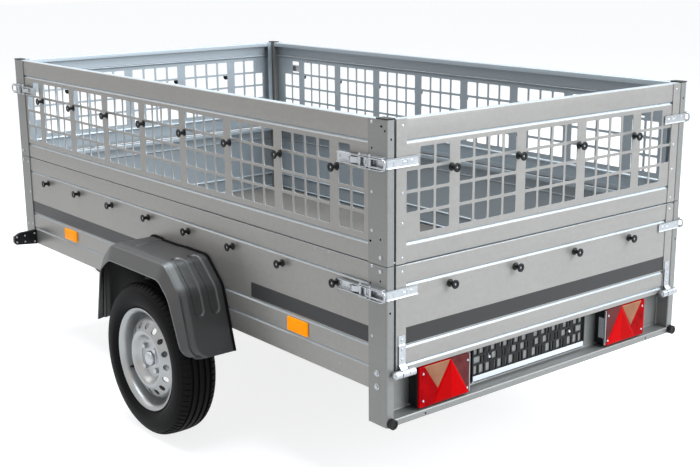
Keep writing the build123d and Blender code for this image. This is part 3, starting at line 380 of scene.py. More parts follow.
# the finish of each slot; a lens also has its prisms per metre and the strength of its painted glow, which
# stands in for the light it throws back
MATERIALS = {
    "galvanised_sheet": galvanised_sheet, "galvanised_steel": galvanised_steel, "bright_zinc": bright_zinc,
    "tyre_rubber": tyre_rubber, "black_plastic": black_plastic, "buffer_rubber": buffer_rubber,
    "floor_board": board_material(),
    "silver_paint": paint_material(),
    "red_lens": lens_material("red lens", rgb(206, 0, 6), 260, 0.0),
    "amber_lens": lens_material("amber lens", rgb(255, 152, 0), 300, 0.6),
    "clear_lens": lens_material("clear lens", rgb(196, 198, 200), 260, 0.0),
}
print("finishes:", len(MATERIALS))

# %% Finishes on the frame
for part in frame["record"]["subparts"]:
    node = frame["nodes"][part["node"]]
    node.data.materials.clear()
    node.data.materials.append(MATERIALS[part["material_slot"]])

# %% [markdown]
# ## Surfaces as arrays
# Every new piece below is a grid of points worked out by a formula: one direction runs along the piece, the
# other round its section. A grid keeps neighbours together, so the quads between the points follow by
# counting, and a sheet gets its thickness from a second skin with walls along the open edges.

# %% Grids and skins
X, Y, Z = np.eye(3)


def grid(points, closed_rows=False, closed_columns=False):
    """Points and quads over points[row, column]; a closed direction joins its last line to its first."""
    rows, columns = points.shape[:2]
    number = np.arange(rows * columns).reshape(rows, columns)
    if closed_rows:
        number = np.concatenate((number, number[:1]))
    if closed_columns:
        number = np.concatenate((number, number[:, :1]), axis=1)
    quads = np.stack((number[:-1, :-1], number[1:, :-1], number[1:, 1:], number[:-1, 1:]), axis=-1)
    return points.reshape(-1, 3), quads.reshape(-1, 4)


def together(*surfaces):
    """Several surfaces as one."""
    starts = np.cumsum([0] + [len(points) for points, quads in surfaces])
    quads = [quads + start for start, (points, quads) in zip(starts, surfaces)]
    return np.concatenate([points for points, quads in surfaces]), np.concatenate(quads)


def used(surface):
    """The same surface without the points that no quad needs."""
    points, quads = surface
    kept, number = np.unique(quads, return_inverse=True)
    return points[kept], number.reshape(quads.shape)


def weld(surface):
    """The same surface with points that coincide made one."""
    points, quads = surface
    first, number = np.unique(np.round(points, 6), axis=0, return_index=True, return_inverse=True)[1:]
    return points[first], number.reshape(-1)[quads]


def thick(surface, shift):
    """A sheet with its second skin at points + shift, and walls along the open edges."""
    points, quads = surface
    edges = quads[:, [0, 1, 1, 2, 2, 3, 3, 0]].reshape(-1, 2)
    edges = edges[edges[:, 0] != edges[:, 1]]
    number, count = np.unique(np.sort(edges, axis=1), axis=0, return_inverse=True, return_counts=True)[1:]
    rim = edges[count[number.reshape(-1)] == 1]
    walls = np.column_stack((rim[:, 1], rim[:, 0], rim[:, 0] + len(points), rim[:, 1] + len(points)))
    skins = np.concatenate((quads, quads[:, ::-1] + len(points), walls))
    return used((np.concatenate((points, points + shift)), skins))


# %% Lines
def curve(points, steps=8):
    """Smooth line through the points: each span is the cubic whose end slopes follow its neighbours."""
    points = np.array(points, float)
    wide = np.concatenate((2 * points[:1] - points[1:2], points, 2 * points[-1:] - points[-2:-1]))
    t = np.linspace(0, 1, steps, endpoint=False)[:, None]
    before, start, stop, after = (wide[i:len(wide) - 3 + i, None] for i in range(4))
    line = start + 0.5 * t * (stop - before + t * (2 * before - 5 * start + 4 * stop - after
                              + t * (3 * (start - stop) + after - before)))
    return np.concatenate((line.reshape(-1, points.shape[1]), points[-1:]))


def rounded(points, radius, steps=6, closed=False):
    """Corners of a line rounded: each becomes a parabola between two points radius away from it."""
    points = np.array(points, float)
    wide = np.concatenate((points[-1:], points, points[:1])) if closed else points
    middle, ahead, behind = wide[1:-1], wide[2:] - wide[1:-1], wide[:-2] - wide[1:-1]
    reach = np.broadcast_to(radius, len(middle))[:, None]
    start = middle + behind / np.linalg.norm(behind, axis=1)[:, None] * reach
    stop = middle + ahead / np.linalg.norm(ahead, axis=1)[:, None] * reach
    t = np.linspace(0, 1, steps)[None, :, None]
    arcs = (1 - t) ** 2 * start[:, None] + 2 * t * (1 - t) * middle[:, None] + t ** 2 * stop[:, None]
    arcs = arcs.reshape(-1, points.shape[1])
    return arcs if closed else np.concatenate((points[:1], arcs, points[-1:]))


def lengths(line):
    """Distance along the line from its start to each of its points."""
    return np.concatenate(([0], np.cumsum(np.linalg.norm(np.diff(line, axis=0), axis=1))))


def resampled(line, way, places):
    """Points of the line at these places, where way says how far along it each of its own points lies."""
    return np.stack([np.interp(places, way, column) for column in line.T], axis=-1)


def full_turn(count):
    """Angles of a whole turn in equal steps, without the last, which is the first again."""
    return np.linspace(0, 2 * np.pi, count, endpoint=False)


def normals(line):
    """Unit normals of a flat line, a quarter turn to the right of its direction."""
    edge = np.diff(line, axis=0)
    edge = edge / np.linalg.norm(edge, axis=1)[:, None]
    ahead = np.concatenate((edge[:1], edge[1:] + edge[:-1], edge[-1:]))
    ahead = ahead / np.linalg.norm(ahead, axis=1)[:, None]
    return ahead[:, ::-1] * (1, -1)


# %% Turned, flat, bent and round pieces
def from_mm(profile):
    """Pairs in millimetres as pairs in metres."""
    return np.array(profile) / 1000


def turned(profile, centre, direction, segments=64, closed=False):
    """Profile of (radius, distance) pairs turned about the line through centre along direction."""
    radius, distance = np.array(profile, float).T
    direction = np.array(direction, float)
    first = np.roll(direction, 1)
    second = np.cross(direction, first)
    turn = full_turn(segments)[:, None, None]
    ring = np.cos(turn) * first + np.sin(turn) * second
    points = np.array(centre) + radius[None, :, None] * ring + distance[None, :, None] * direction
    return grid(points, closed_rows=True, closed_columns=closed)


def stand(surface, origin, first, second, third):
    """The surface with its three coordinates laid along three axes from origin."""
    points, quads = surface
    return np.array(origin) + points @ np.array((first, second, third), float), quads


def slab(outline, low, high, bevel):
    """Plate on a closed outline from low to high: rings of the outline, drawn in as they turn over a rim."""
    outline = np.array(outline, float)
    ahead = np.roll(outline, -1, axis=0) - np.roll(outline, 1, axis=0)
    inward = np.stack((-ahead[:, 1], ahead[:, 0]), axis=-1) / np.linalg.norm(ahead, axis=1)[:, None]
    middle = outline.mean(axis=0)
    inward *= np.sign(np.sum(inward * (middle - outline), axis=1).sum())
    turn = np.linspace(0, np.pi / 2, 4)
    inset = bevel * (1 - np.sin(turn))
    height = bevel * (1 - np.cos(turn))
    inset = np.concatenate((inset, inset[::-1]))
    level = np.concatenate((low + height, high - height[::-1]))
    rings = outline + inset[:, None, None] * inward
    rings = np.concatenate((rings, np.broadcast_to(level[:, None, None], rings.shape[:2] + (1,))), axis=-1)
    ends = [np.broadcast_to((*middle, z), rings[:1].shape) for z in (low, high)]
    return grid(np.concatenate((ends[0], rings, ends[1])), closed_columns=True)


def carried(line, run):
    """Points of a flat line carried straight along run, as (across, up, along)."""
    face = np.repeat(line[:, None], len(run), axis=1)
    return np.concatenate((face, np.repeat(run[None, :, None], len(line), axis=0)), axis=-1)


def skinned(surface, line, thickness):
    """A carried line's surface with a second skin, thickness beside the line."""
    beside = np.zeros((len(line), len(surface[0]) // len(line), 3))
    beside[..., :2] = normals(line)[:, None] * thickness
    return thick(surface, beside.reshape(-1, 3))


def bent(line, run, thickness):
    """Folded sheet: the line carried straight along run, with a second skin beside it."""
    line = np.array(line, float)
    return skinned(grid(carried(line, np.array(run, float))), line, thickness)


def tube(path, radius, normal, sides, closed=False):
    """Round bar along a flat path: circles across the path, spanned by normal and the sideways direction."""
    path = np.array(path, float)
    ahead = np.roll(path, -1, axis=0) - np.roll(path, 1, axis=0) if closed else np.gradient(path, axis=0)
    sideways = np.cross(ahead, normal)
    sideways /= np.linalg.norm(sideways, axis=1)[:, None]
    turn = full_turn(sides)[None, :, None]
    circle = np.cos(turn) * np.array(normal, float) + np.sin(turn) * sideways[:, None]
    size = np.full(len(path), radius)
    if not closed:
        path = np.concatenate((path[:1], path, path[-1:]))
        circle = np.concatenate((circle[:1], circle, circle[-1:]))
        size = np.concatenate(([0], size, [0]))
    return grid(path[:, None] + size[:, None, None] * circle, closed_rows=closed, closed_columns=True)


def plate_outline(left, low, right, high, radius, steps=5):
    """Rectangle with rounded corners."""
    return rounded(((left, low), (right, low), (right, high), (left, high)), radius, steps, closed=True)


def plate(left, low, right, high, radius, back, front, bevel):
    """Rectangular plate with rounded corners and rims, from back to front."""
    return slab(plate_outline(left, low, right, high, radius), back, front, bevel)


def lengthwise(surface, origin=(0, 0, 0)):
    """The surface with its first two coordinates forwards and up, and its third to the left."""
    return stand(surface, origin, X, Z, Y)


def crosswise(surface, origin=(0, 0, 0)):
    """The surface with its first two coordinates to the left and up, and its third forwards."""
    return stand(surface, origin, Y, Z, X)


# %% Sides, ends and pieces
def mirrored(surface):
    """The same surface on the other side of the trailer."""
    points, quads = surface
    return points * (1, -1, 1), quads[:, ::-1]


def both_sides(surface):
    """The surface and its mirror image."""
    return together(surface, mirrored(surface))


def other_end(surface):
    """The same surface at the other end of the load box."""
    points, quads = surface
    return points * (-1, 1, 1) + (2 * MIDDLE, 0, 0), quads[:, ::-1]


def piece(name, surface, body, slot, replaces=(), material=None, angle=35):
    """The surface as one object on its body; edges sharper than angle stay sharp."""
    points, quads = surface
    mesh = bpy.data.meshes.new(name)
    mesh.from_pydata(points.tolist(), [], quads.tolist())
    build = bmesh.new()
    build.from_mesh(mesh)
    bmesh.ops.remove_doubles(build, verts=build.verts, dist=1e-5)
    bmesh.ops.recalc_face_normals(build, faces=build.faces)
    build.to_mesh(mesh)
    build.free()
    mesh.shade_smooth()
    mesh.set_sharp_from_angle(angle=math.radians(angle))
    mesh.materials.append(material or MATERIALS[slot])
    made = bpy.data.objects.new(name, mesh)
    bpy.context.scene.collection.objects.link(made)
    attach(made, body)
    if replaces:
        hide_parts(*replaces)
    print(name, "faces:", len(mesh.polygons))


def pair(name, surface, body, slot, node=None, **finish):
    """The surface as the left piece and its mirror image as the right one; {} in a name is the side."""
    for side, shape in (("left", surface), ("right", mirrored(surface))):
        replaced = [node.format(side)] if node else ()
        piece(name.format(side), shape, body.format(side), slot, replaced, **finish)


# %% [markdown]
# ## Folded walls
# A wall is one strip of sheet. Its long edges are folded inwards twice, which makes it stiff, and V grooves
# are rolled along it. So a wall is a line, the section, carried straight along the trailer. The section is
# drawn with sharp corners and its corners are then rounded, as the press brake rounds them.

# %% Sections
SHEET = 0.002
FOLD = wall_high[1] - wall_low[1]  # inward fold along the edges
LIP = 0.018
BEND = 0.004  # outer radius of a fold
BOARD_GROOVE = (0.004, 0.006, 0.005)  # reach above and below its bottom, and depth
MESH_GROOVE = (0.004, 0.0065, 0.0055)
BOARD_LINES = (SPLIT - 0.060, wall_low[2] + 0.130)
FOOT_LINE = wall_low[2] + 0.068
MESH_LINES = (TOP - 0.063, SPLIT + 0.057)
GROOVE_BEND = 0.0016


def section(bottom, top, lines, groove):
    """Outer face of a wall as (depth, height): lower lip and fold, face with grooves, upper fold and lip."""
    above, below, depth = groove
    corners = [(FOLD, bottom + LIP), (FOLD, bottom), (0, bottom)]
    radii = [BEND, BEND]
    for height in sorted(lines):
        corners += [(0, height - below), (depth, height), (0, height + above)]
        radii += [GROOVE_BEND] * 3
    corners += [(0, top), (FOLD, top), (FOLD, top - LIP)]
    return rounded(corners, radii + [BEND, BEND], 5)


def side_sheet(surface, start):
    """The surface laid on the left wall: depth inwards, run along the trailer from start."""
    return stand(surface, (start, WALL, 0), -Y, Z, X)


def rear_sheet(surface):
    """The surface laid on the tailgate's face: depth forwards, run across the trailer."""
    return lengthwise(surface, (REAR_FACE, 0, 0))


board = bent(section(wall_low[2], SPLIT, (*BOARD_LINES, FOOT_LINE), BOARD_GROOVE),
             np.linspace(wall_low[0], wall_high[0], 13), SHEET)
pair("side_wall_{}_folded", side_sheet(board, 0), "chassis", "galvanised_sheet", "side_wall_{}",
     material=striped_sheet)

HEM = 0.006  # reach of the tailgate's lower fold over the lamps
HEM_LINE = gate_low[2] + 0.014
GATE_RISE = 0.0025  # of the folds towards each other between the two gates
gate_width = np.linspace(gate_low[1], gate_high[1], 9)
gate_line = section(gate_low[2] - HEM, gate_high[2] + GATE_RISE, BOARD_LINES + (HEM_LINE,), BOARD_GROOVE)
gate = rear_sheet(bent(gate_line, gate_width, SHEET))
piece("tailgate_folded", gate, "tailgate", "galvanised_sheet", ["tailgate_panel"], striped_sheet)
front_sheet = rear_sheet(bent(section(front_low[2], front_high[2], (*BOARD_LINES, FOOT_LINE), BOARD_GROOVE),
                              np.linspace(front_low[1], front_high[1], 9), SHEET))
piece("front_board_folded", other_end(front_sheet), "chassis", "galvanised_sheet", ["front_board"])

# %% [markdown]
# ## Punched walls
# The upper walls are the same folded strip with windows punched through the face. The grid of the sheet
# gets a line along each edge of a window, the quads inside are left out, and the sheet's second skin then
# closes the cut edges by itself. A punch has rounded corners: the grid's corner point is pulled into the
# window.

# %% Windows
PITCH = 0.271  # from one wide upright to the next
UPRIGHT = 0.040
BAR = 0.009
COLUMNS = 4
ROW_HEIGHT = 0.0535
ROW_GAP = 0.0085
ROW_BOTTOM = SPLIT + 0.080
LEAST_WINDOW = 0.035
WINDOW = (PITCH - UPRIGHT - (COLUMNS - 1) * BAR) / COLUMNS
ROWS = int((MESH_LINES[0] - MESH_GROOVE[0] - ROW_BOTTOM + ROW_GAP) / (ROW_HEIGHT + ROW_GAP))
PUNCH_CORNER = 0.004
CORNER_PULL = 0.29  # pull of a corner point into the window, over the corner's radius
FLAT = 1e-9  # least depth that is no longer the flat face
FLANGE = 0.078  # reach of a post along the side
STRIP = 0.037  # strip at the end of a gate


def uprights(limit):
    """Places of the wide uprights on both sides of a wall's middle, as many as fit within limit."""
    pairs = math.floor((limit - UPRIGHT / 2) / PITCH + 0.5)
    return PITCH * (np.arange(-pairs, pairs) + 0.5)


def windows(limit, outer_rows):
    """(from, to, bottom, top) of each window: full fields between uprights, then what fits beyond them."""
    places = uprights(limit)
    step = WINDOW + BAR
    inner = (places[:-1, None] + UPRIGHT / 2 + step * np.arange(COLUMNS)).ravel()
    beyond = np.arange(places[-1] + UPRIGHT / 2, limit - LEAST_WINDOW, step)
    columns = [(start, start + WINDOW, range(ROWS)) for start in inner]
    for start in beyond:
        rows = outer_rows if start == beyond[-1] else range(ROWS)
        stop = min(start + WINDOW, limit)
        columns += [(start, stop, rows), (-stop, -start, rows)]
    bottoms = [ROW_BOTTOM + row * (ROW_HEIGHT + ROW_GAP) for row in range(ROWS)]
    return [(start, stop, bottoms[row], bottoms[row] + ROW_HEIGHT)
            for start, stop, rows in columns for row in rows]


def cuts(openings, first, second, corner):
    """Every grid line that the openings need in one direction: their edges and the ends of their corners."""
    edges = np.array([(opening[first], opening[second]) for opening in openings])
    lines = np.concatenate((edges, edges + (corner, -corner)))
    return np.unique(np.round(lines, 6))


def punched(line, start, stop, openings, thickness=SHEET, corner=PUNCH_CORNER):
    """Sheet of the section with the openings punched out of its flat face."""
    run = np.unique(np.concatenate((cuts(openings, 0, 1, corner), (start, stop))))
    flat = np.abs(line[:, 0]) < FLAT
    way = lengths(line)
    heights = cuts(openings, 2, 3, corner)
    way_there = np.interp(heights, line[flat, 1], way[flat])
    every = np.unique(np.round(np.concatenate((way, way_there)), 7))
    line = resampled(line, way, every)
    points = carried(line, run)
    quads = grid(points)[1]
    level = np.where(np.abs(line[:, 0]) < FLAT, line[:, 1], -1)
    gone = np.zeros((len(line) - 1, len(run) - 1), bool)
    pull = CORNER_PULL * corner
    for left, right, low, high in openings:
        columns = [int(np.argmin(abs(run - place))) for place in (left, right)]
        rows = [int(np.argmin(abs(level - place))) for place in (low, high)]
        gone[rows[0]:rows[1], columns[0]:columns[1]] = True
        for row, up in zip(rows, (1, -1)):
            for column, side in zip(columns, (1, -1)):
                points[row, column] += (0, up * pull, side * pull)
    return skinned((points.reshape(-1, 3), quads[~gone.ravel()]), line, thickness)


mesh_section = section(mesh_low[2], TOP, MESH_LINES, MESH_GROOVE)
side_limit = (FRONT - REAR) / 2 - FLANGE
side_windows = windows(side_limit, range(ROWS - 1))
mesh_side = punched(mesh_section, mesh_low[0] - MIDDLE, mesh_high[0] - MIDDLE, side_windows)
pair("mesh_wall_{}_punched", side_sheet(mesh_side, MIDDLE), "chassis", "galvanised_sheet", "mesh_wall_{}")

GATE_END = gate_high[1]
gate_limit = GATE_END + SHEET - STRIP
gate_section = section(mesh_low[2] - GATE_RISE / 2, TOP, MESH_LINES, MESH_GROOVE)
mesh_gate = rear_sheet(punched(gate_section, -GATE_END, GATE_END, windows(gate_limit, range(1, ROWS - 1))))
piece("rear_mesh_punched", mesh_gate, "rear_mesh_gate", "galvanised_sheet", ["rear_mesh_panel"])
piece("front_mesh_punched", other_end(mesh_gate), "front_mesh_gate", "galvanised_sheet", ["front_mesh_panel"])
print("windows in a side wall:", len(side_windows))

# %% [markdown]
# ## Rear beam
# The tail of the frame is one long folded plate: a lip below, a shelf for the lamps, a back wall and a
# flange under the floor. Like the walls it is a section carried across, only thicker and with larger bends.

# %% Rear beam
beam_low, beam_high = span("rear_beam")
BEAM_SHELF = beam_low[2] + 0.020
BEAM_DEPTH = 0.050
BEAM_SHEET = 0.003
BEAM_BEND = 0.006
BEAM_TOP = beam_high[2] - BEAM_SHEET
FLOOR_EDGE = span("floor_panel")[0][0] - beam_low[0]
beam_line = rounded(((0, beam_low[2]), (0, BEAM_SHELF), (BEAM_DEPTH, BEAM_SHELF), (BEAM_DEPTH, BEAM_TOP),
                     (FLOOR_EDGE, BEAM_TOP)), BEAM_BEND, 5)
beam = bent(beam_line, np.linspace(beam_low[1], beam_high[1], 9), BEAM_SHEET)
piece("rear_beam_folded", lengthwise(beam, (beam_low[0], 0, 0)), "chassis", "galvanised_steel", ["rear_beam"])

# %% [markdown]
# ## Tyres
# A tyre is one profile turned about the axle: bead, bulging side wall, rounded shoulder and an almost flat
# tread. The tread's grooves are steps in the profile. The small cuts on the shoulders repeat round the
# wheel, so the radius there also depends on the angle, which a grid allows and a plain turned profile
# doesn't.

# %% Tyres
# (radius, distance from the middle of the wheel) in millimetres, from the bead to the middle of the tread
TYRE_SECTION = np.array((
    (166, 52), (177, 55), (183, 60), (190, 66), (200, 71), (213, 73), (227, 71.8), (240, 68), (250, 62.5),
    (257, 56), (261, 50), (263.5, 42), (265, 30), (265.8, 15), (266, 0)))
SECTION_RADIUS, SECTION_HALF = 266, 73  # largest radius and half width of the section
TREAD_HALF = 48
TREAD_POINTS = 97
TREAD_GROOVES = (-34, -12, 12, 34)
GROOVE_WIDTH = 8
GROOVE_DEPTH = 6
GROOVE_EDGE = 0.8
SIPES = 76
STEPS_PER_SIPE = 6
SIPE_SHARE = 0.2  # share of its step that a cut takes
SIPE_DEPTH = 3.5
SHOULDER_SIDE = (38, 3)  # where the cuts begin, from the middle of the tread, and over what width
SHOULDER_RADIUS = (250, 4)  # and the same in radius
RIBS_ON_WALL = (203, 232, 245)
RIB_WIDTH = 1.3
RIB_RISE = 0.8


def tyre(centre, radius, half_width):
    """Radius over angle and width: the section, less grooves, less cuts on the shoulders, plus thin rings."""
    across = curve(TYRE_SECTION, 5)
    across = np.concatenate((across, across[-2::-1] * (1, -1)))
    tread = np.column_stack((np.zeros(TREAD_POINTS), np.linspace(TREAD_HALF, -TREAD_HALF, TREAD_POINTS)))
    tread[:, 0] = np.interp(tread[:, 1], across[::-1, 1], across[::-1, 0])
    edge = TREAD_HALF + 0.5
    r, y = np.concatenate((across[across[:, 1] > edge], tread, across[across[:, 1] < -edge])).T
    reach = GROOVE_WIDTH / 2 + GROOVE_EDGE
    groove = np.max([np.clip((reach - abs(y - g)) / GROOVE_EDGE, 0, 1) for g in TREAD_GROOVES], axis=0)
    on_wall = abs(y) > TREAD_HALF + 2
    wall_ring = sum(np.exp(-((r - ring) / RIB_WIDTH) ** 2) for ring in RIBS_ON_WALL) * on_wall
    turn = full_turn(SIPES * STEPS_PER_SIPE)[:, None]
    (side, width), (least, rise) = SHOULDER_SIDE, SHOULDER_RADIUS
    shoulder = np.clip((abs(y) - side) / width, 0, 1) * np.clip((r - least) / rise, 0, 1)
    cut = (np.mod(turn * SIPES / (2 * np.pi) + 0.5 * (y > 0), 1) < SIPE_SHARE) * shoulder
    deep = r - groove * GROOVE_DEPTH - cut * SIPE_DEPTH
    wide = y * (1 + 0 * turn) + np.sign(y) * wall_ring * RIB_RISE
    deep = deep * radius / SECTION_RADIUS
    wide = wide * half_width / SECTION_HALF
    points = np.stack((deep * np.cos(turn), wide, deep * np.sin(turn)), axis=-1) / 1000
    return grid(points + centre, closed_rows=True, closed_columns=True)


tyre_radius = (tyre_high[0] - tyre_low[0]) / 2 * 1000
tyre_half = (tyre_high[1] - tyre_low[1]) / 2 * 1000
pair("tyre_{}_skin", tyre(WHEEL, tyre_radius, tyre_half), "wheel_{}", "tyre_rubber", "tyre_{}", angle=30)

# %% [markdown]
# ## Wheels
# The disc of a pressed wheel is dished, and sixteen round vents are punched through its slope. A vent is a
# ring grid between a circle and the edge of its sector, laid out flat as angle and radius and then bent
# round the axle, while the height comes from the same dish profile everywhere. So the punched disc is one
# smooth surface.

# %% Wheels
VENTS = 16
VENT_RADIUS = 10.5
VENT_CIRCLE = 116
VENT_BAND = (100, 132)  # radii between which the vents lie
SIDE_POINTS = 8
# both as (radius, distance from the middle of the wheel) in millimetres
DISC = ((30, 34), (60, 34), (66, 34.5), (74, 41), (82, 51), (88, 55), (94, 56), (100, 54.5), (108, 49.5),
        (120, 42), (132, 34.5), (138, 28), (144, 19), (150, 10), (155, 5.5), (159, 4))
BARREL = ((158, 10), (159, 0), (160, -16), (160, -46), (166, -52), (174, -56), (178, -58), (178.4, -60),
          (176, -61.8), (172, -61), (164, -57), (156, -50), (152, -34), (152, -12), (154, 6), (157, 20),
          (159, 36), (161, 48), (165, 54), (170, 57.5), (173.5, 60.8), (176.4, 61.8), (178.3, 60.4),
          (178, 57), (172, 53), (166, 48), (164, 30))
RIM_SHEET = 4


def vent_sector():
    """Ring grid between one vent and the edge of its sector, as (angle in sectors, radius)."""
    side = np.linspace(-1, 1, SIDE_POINTS + 1)[:-1]
    one = np.ones(SIDE_POINTS)
    square = np.concatenate((np.column_stack((side, -one)), np.column_stack((one, side)),
                             np.column_stack((-side, one)), np.column_stack((-one, -side))))
    inner, outer = VENT_BAND
    edge = np.column_stack((square[:, 0] * np.pi / VENTS, VENT_CIRCLE + np.where(
        square[:, 1] < 0, -square[:, 1] * (inner - VENT_CIRCLE), square[:, 1] * (outer - VENT_CIRCLE))))
    way = np.arctan2(square[:, 1], square[:, 0])
    hole = np.column_stack((np.cos(way) * VENT_RADIUS / VENT_CIRCLE, VENT_CIRCLE + np.sin(way) * VENT_RADIUS))
    share = np.array((0, 0.12, 0.35, 0.65, 1))[:, None, None]
    return hole + share * (edge - hole)


def disc_surface():
    """The dished disc: rings inside and outside the vents, and sixteen vent sectors between them."""
    dish = curve(DISC, 6)
    inner, outer = VENT_BAND
    turn = full_turn(VENTS * SIDE_POINTS)[:, None] + np.pi / VENTS
    parts = []
    for radii in (np.concatenate((dish[dish[:, 0] < inner, 0], [inner])),
                  np.concatenate(([outer], dish[dish[:, 0] > outer, 0]))):
        flat_ring = np.stack((turn + 0 * radii, radii + 0 * turn), axis=-1)
        parts.append((flat_ring, True))
    for k in range(VENTS):
        parts.append((vent_sector() + (2 * np.pi * k / VENTS, 0), False))
    surfaces = []
    for polar, ring in parts:
        angle, r = polar[..., 0], polar[..., 1]
        depth = np.interp(r, dish[:, 0], dish[:, 1])
        points = np.stack((r * np.cos(angle), depth, r * np.sin(angle)), axis=-1) / 1000
        surfaces.append(grid(points, closed_rows=ring, closed_columns=not ring))
    return weld(together(*surfaces))


def rim(centre):
    """Punched disc with the thickness of its plate, inside a barrel with two flanges."""
    disc = thick(disc_surface(), (0, -RIM_SHEET / 1000, 0))
    barrel = turned(from_mm(BARREL), (0, 0, 0), Y, VENTS * SIDE_POINTS, closed=True)
    points, quads = together(disc, barrel)
    return points + centre, quads


rim_centre = (rim_low + rim_high) / 2
pair("rim_{}_pressed", rim(rim_centre), "wheel_{}", "silver_paint", "rim_{}")

# %% [markdown]
# ## Hubs
# The hub carries the wheel on four hexagon nuts, and a dust cap closes its bearing. A nut is a turned
# profile with only six sides, and the cap is a dome with a rolled edge.

# %% Hubs
HUB_FACE = 28  # hub face outside the middle of the wheel
# profiles as (radius, distance from the hub's face) in millimetres
HUB_CAP = ((0, 25), (10, 24.4), (17, 22.8), (22, 20), (25, 16.4), (26.2, 12), (26.6, 7.4), (31, 7),
           (32.5, 5.6), (32.5, 0), (64, 0), (66, -2), (66, -11), (56, -13), (56, -70), (20.6, -70),
           (20.6, -12), (0, -12))
NUT = ((0, 17), (8, 17), (10.5, 15.4), (10.5, 5.5), (0, 5.5))
NUT_CIRCLE = 50
NUTS = 4
STEM = ((0, 34), (2.6, 34), (3.6, 33), (3.6, 24), (4.4, 22), (5.2, 8), (7.4, 3), (7.4, 0), (0, 0))
STEM_PLACE = (148, 20)  # radius and distance from the middle of the wheel
STEM_ANGLE = math.radians(-27)
STEM_TILT = math.radians(24)


def hub(centre):
    """Dust cap, flange and body as one turned profile, and four nuts round them."""
    face = np.array(centre) + (0, HUB_FACE / 1000, 0)
    parts = [turned(from_mm(HUB_CAP), face, Y, 48)]
    for k in range(NUTS):
        angle = 2 * np.pi / NUTS * (k + 0.5)
        place = face + np.array((np.cos(angle), 0, np.sin(angle))) * NUT_CIRCLE / 1000
        parts.append(turned(from_mm(NUT), place, Y, 6))
    return together(*parts)


pair("hub_{}_capped", hub(rim_centre), "wheel_{}", "bright_zinc", "hub_{}")


def valve(centre):
    """Rubber valve stem that leans out of the dish towards the hub."""
    radius, distance = STEM_PLACE
    outward = np.array((math.cos(STEM_ANGLE), 0, math.sin(STEM_ANGLE)))
    lean = math.cos(STEM_TILT) * Y - math.sin(STEM_TILT) * outward
    across = np.cross(lean, outward)
    across /= np.linalg.norm(across)
    stem = turned(from_mm(STEM), (0, 0, 0), Z, 14)
    foot = centre + (outward * radius + Y * distance) / 1000
    return stand(stem, foot, across, np.cross(lean, across), lean)


pair("valve_{}", valve(rim_centre), "wheel_{}", "black_plastic")

# %% [markdown]
# ## Mudguards
# A mudguard is moulded in one piece: an arch of flats joined by soft creases, with a band that slopes down
# its outer side to a lip. Two lines describe it, the crease above and the mouth below, and a section is
# carried along them: out from the wall on the top, round the crease and down the band. A panel on the top
# and two ribs down the rear are then pushed in by a depth that depends on where a point lies along the arch
# and across it. Two round beads finish it: one where the guard meets the wall, its flange, near black as
# painted shade of the gap there, and a lighter one along the lip, a painted highlight.

# %% Mudguards
guard_high = span("mudguard_left")[1]
# corners from the front foot to the rear foot, as (forward of the wheel's middle, above it): crease, then lip
GUARD_TOP = ((0.325, 0.068), (0.308, 0.292), (0.238, 0.359), (-0.125, 0.359), (-0.213, 0.276),
             (-0.276, 0.064))
GUARD_MOUTH = ((0.316, 0.068), (0.279, 0.258), (0.213, 0.307), (-0.123, 0.307), (-0.181, 0.256),
               (-0.262, 0.064))
GUARD_CREASE = 0.165  # crease beyond the wall
GUARD_LIP = guard_high[1] - WALL  # lip beyond the wall
GUARD_SHEET = 0.004
GUARD_ROUND = 0.022  # reach of the rounding at each corner of the arch
CREASE_SHARE = 0.16  # share of the section that the crease's rounding takes
CREASE_DROP = 0.006
FOOT_CORNER = 0.045  # radius of the rear foot's outer corner
FOOT_TOP = 0.115  # height where that corner begins
GUARD_INSIDE = (0, 0.05, 0)  # a place under the arch, which the normals point away from
PRESS = 0.0045  # depth of the panel and the ribs
# ribs: nearer and further edge beyond the wall; start and end along the arch, from the wheel's middle
RIBS = ((0.030, 0.063), (0.090, 0.125))
RIB_START = -0.085  # forward place of their upper ends on the top flat
RIB_END = 0.195  # height of their lower ends
PANEL_FRONT = 0.150  # front edge of the top panel
PANEL_BACK = 0.000
PANEL_EDGE = 0.118  # outer edge of the top panel beyond the wall
PANEL_FADE = 0.06  # length over which the panel sinks in
PANEL_SKEW = 0.12  # slant of its front edge
PANEL_PRESS = 0.8  # its depth, as a share of the ribs' depth
SOFT = 0.005  # width of a pressed edge
WALL_BEAD = 0.004  # radius of the near black bead along the wall, the flange with painted shade
LIP_BEAD = 0.0025  # radius of the lighter bead along the lip, a painted highlight


def slope(value):
    """0 where value is below zero and 1 above it, with a soft step between."""
    share = np.clip(value / SOFT + 0.5, 0, 1)
    return share * share * (3 - 2 * share)


def pressed(forward, height, out):
    """Depth pushed in at a point of the arch: two ribs with round ends and a panel that fades to the rear."""
    ribs = 0
    for near, far in RIBS:
        middle, half = (near + far) / 2, (far - near) / 2
        over_end = np.maximum(RIB_END + half - height, 0)
        over_start = np.maximum(forward - RIB_START + half, 0)
        distance = np.sqrt((out - middle) ** 2 + np.maximum(over_end, over_start) ** 2)
        ribs = ribs + slope(half - distance)
    ribs = ribs * (forward < 0)
    fade = np.clip((forward - PANEL_BACK) / PANEL_FADE, 0, 1)
    skew = (PANEL_EDGE - out) * PANEL_SKEW
    panel = slope(PANEL_FRONT + skew - forward) * slope(PANEL_EDGE - out) * fade
    return PRESS * np.maximum(ribs, panel * PANEL_PRESS)


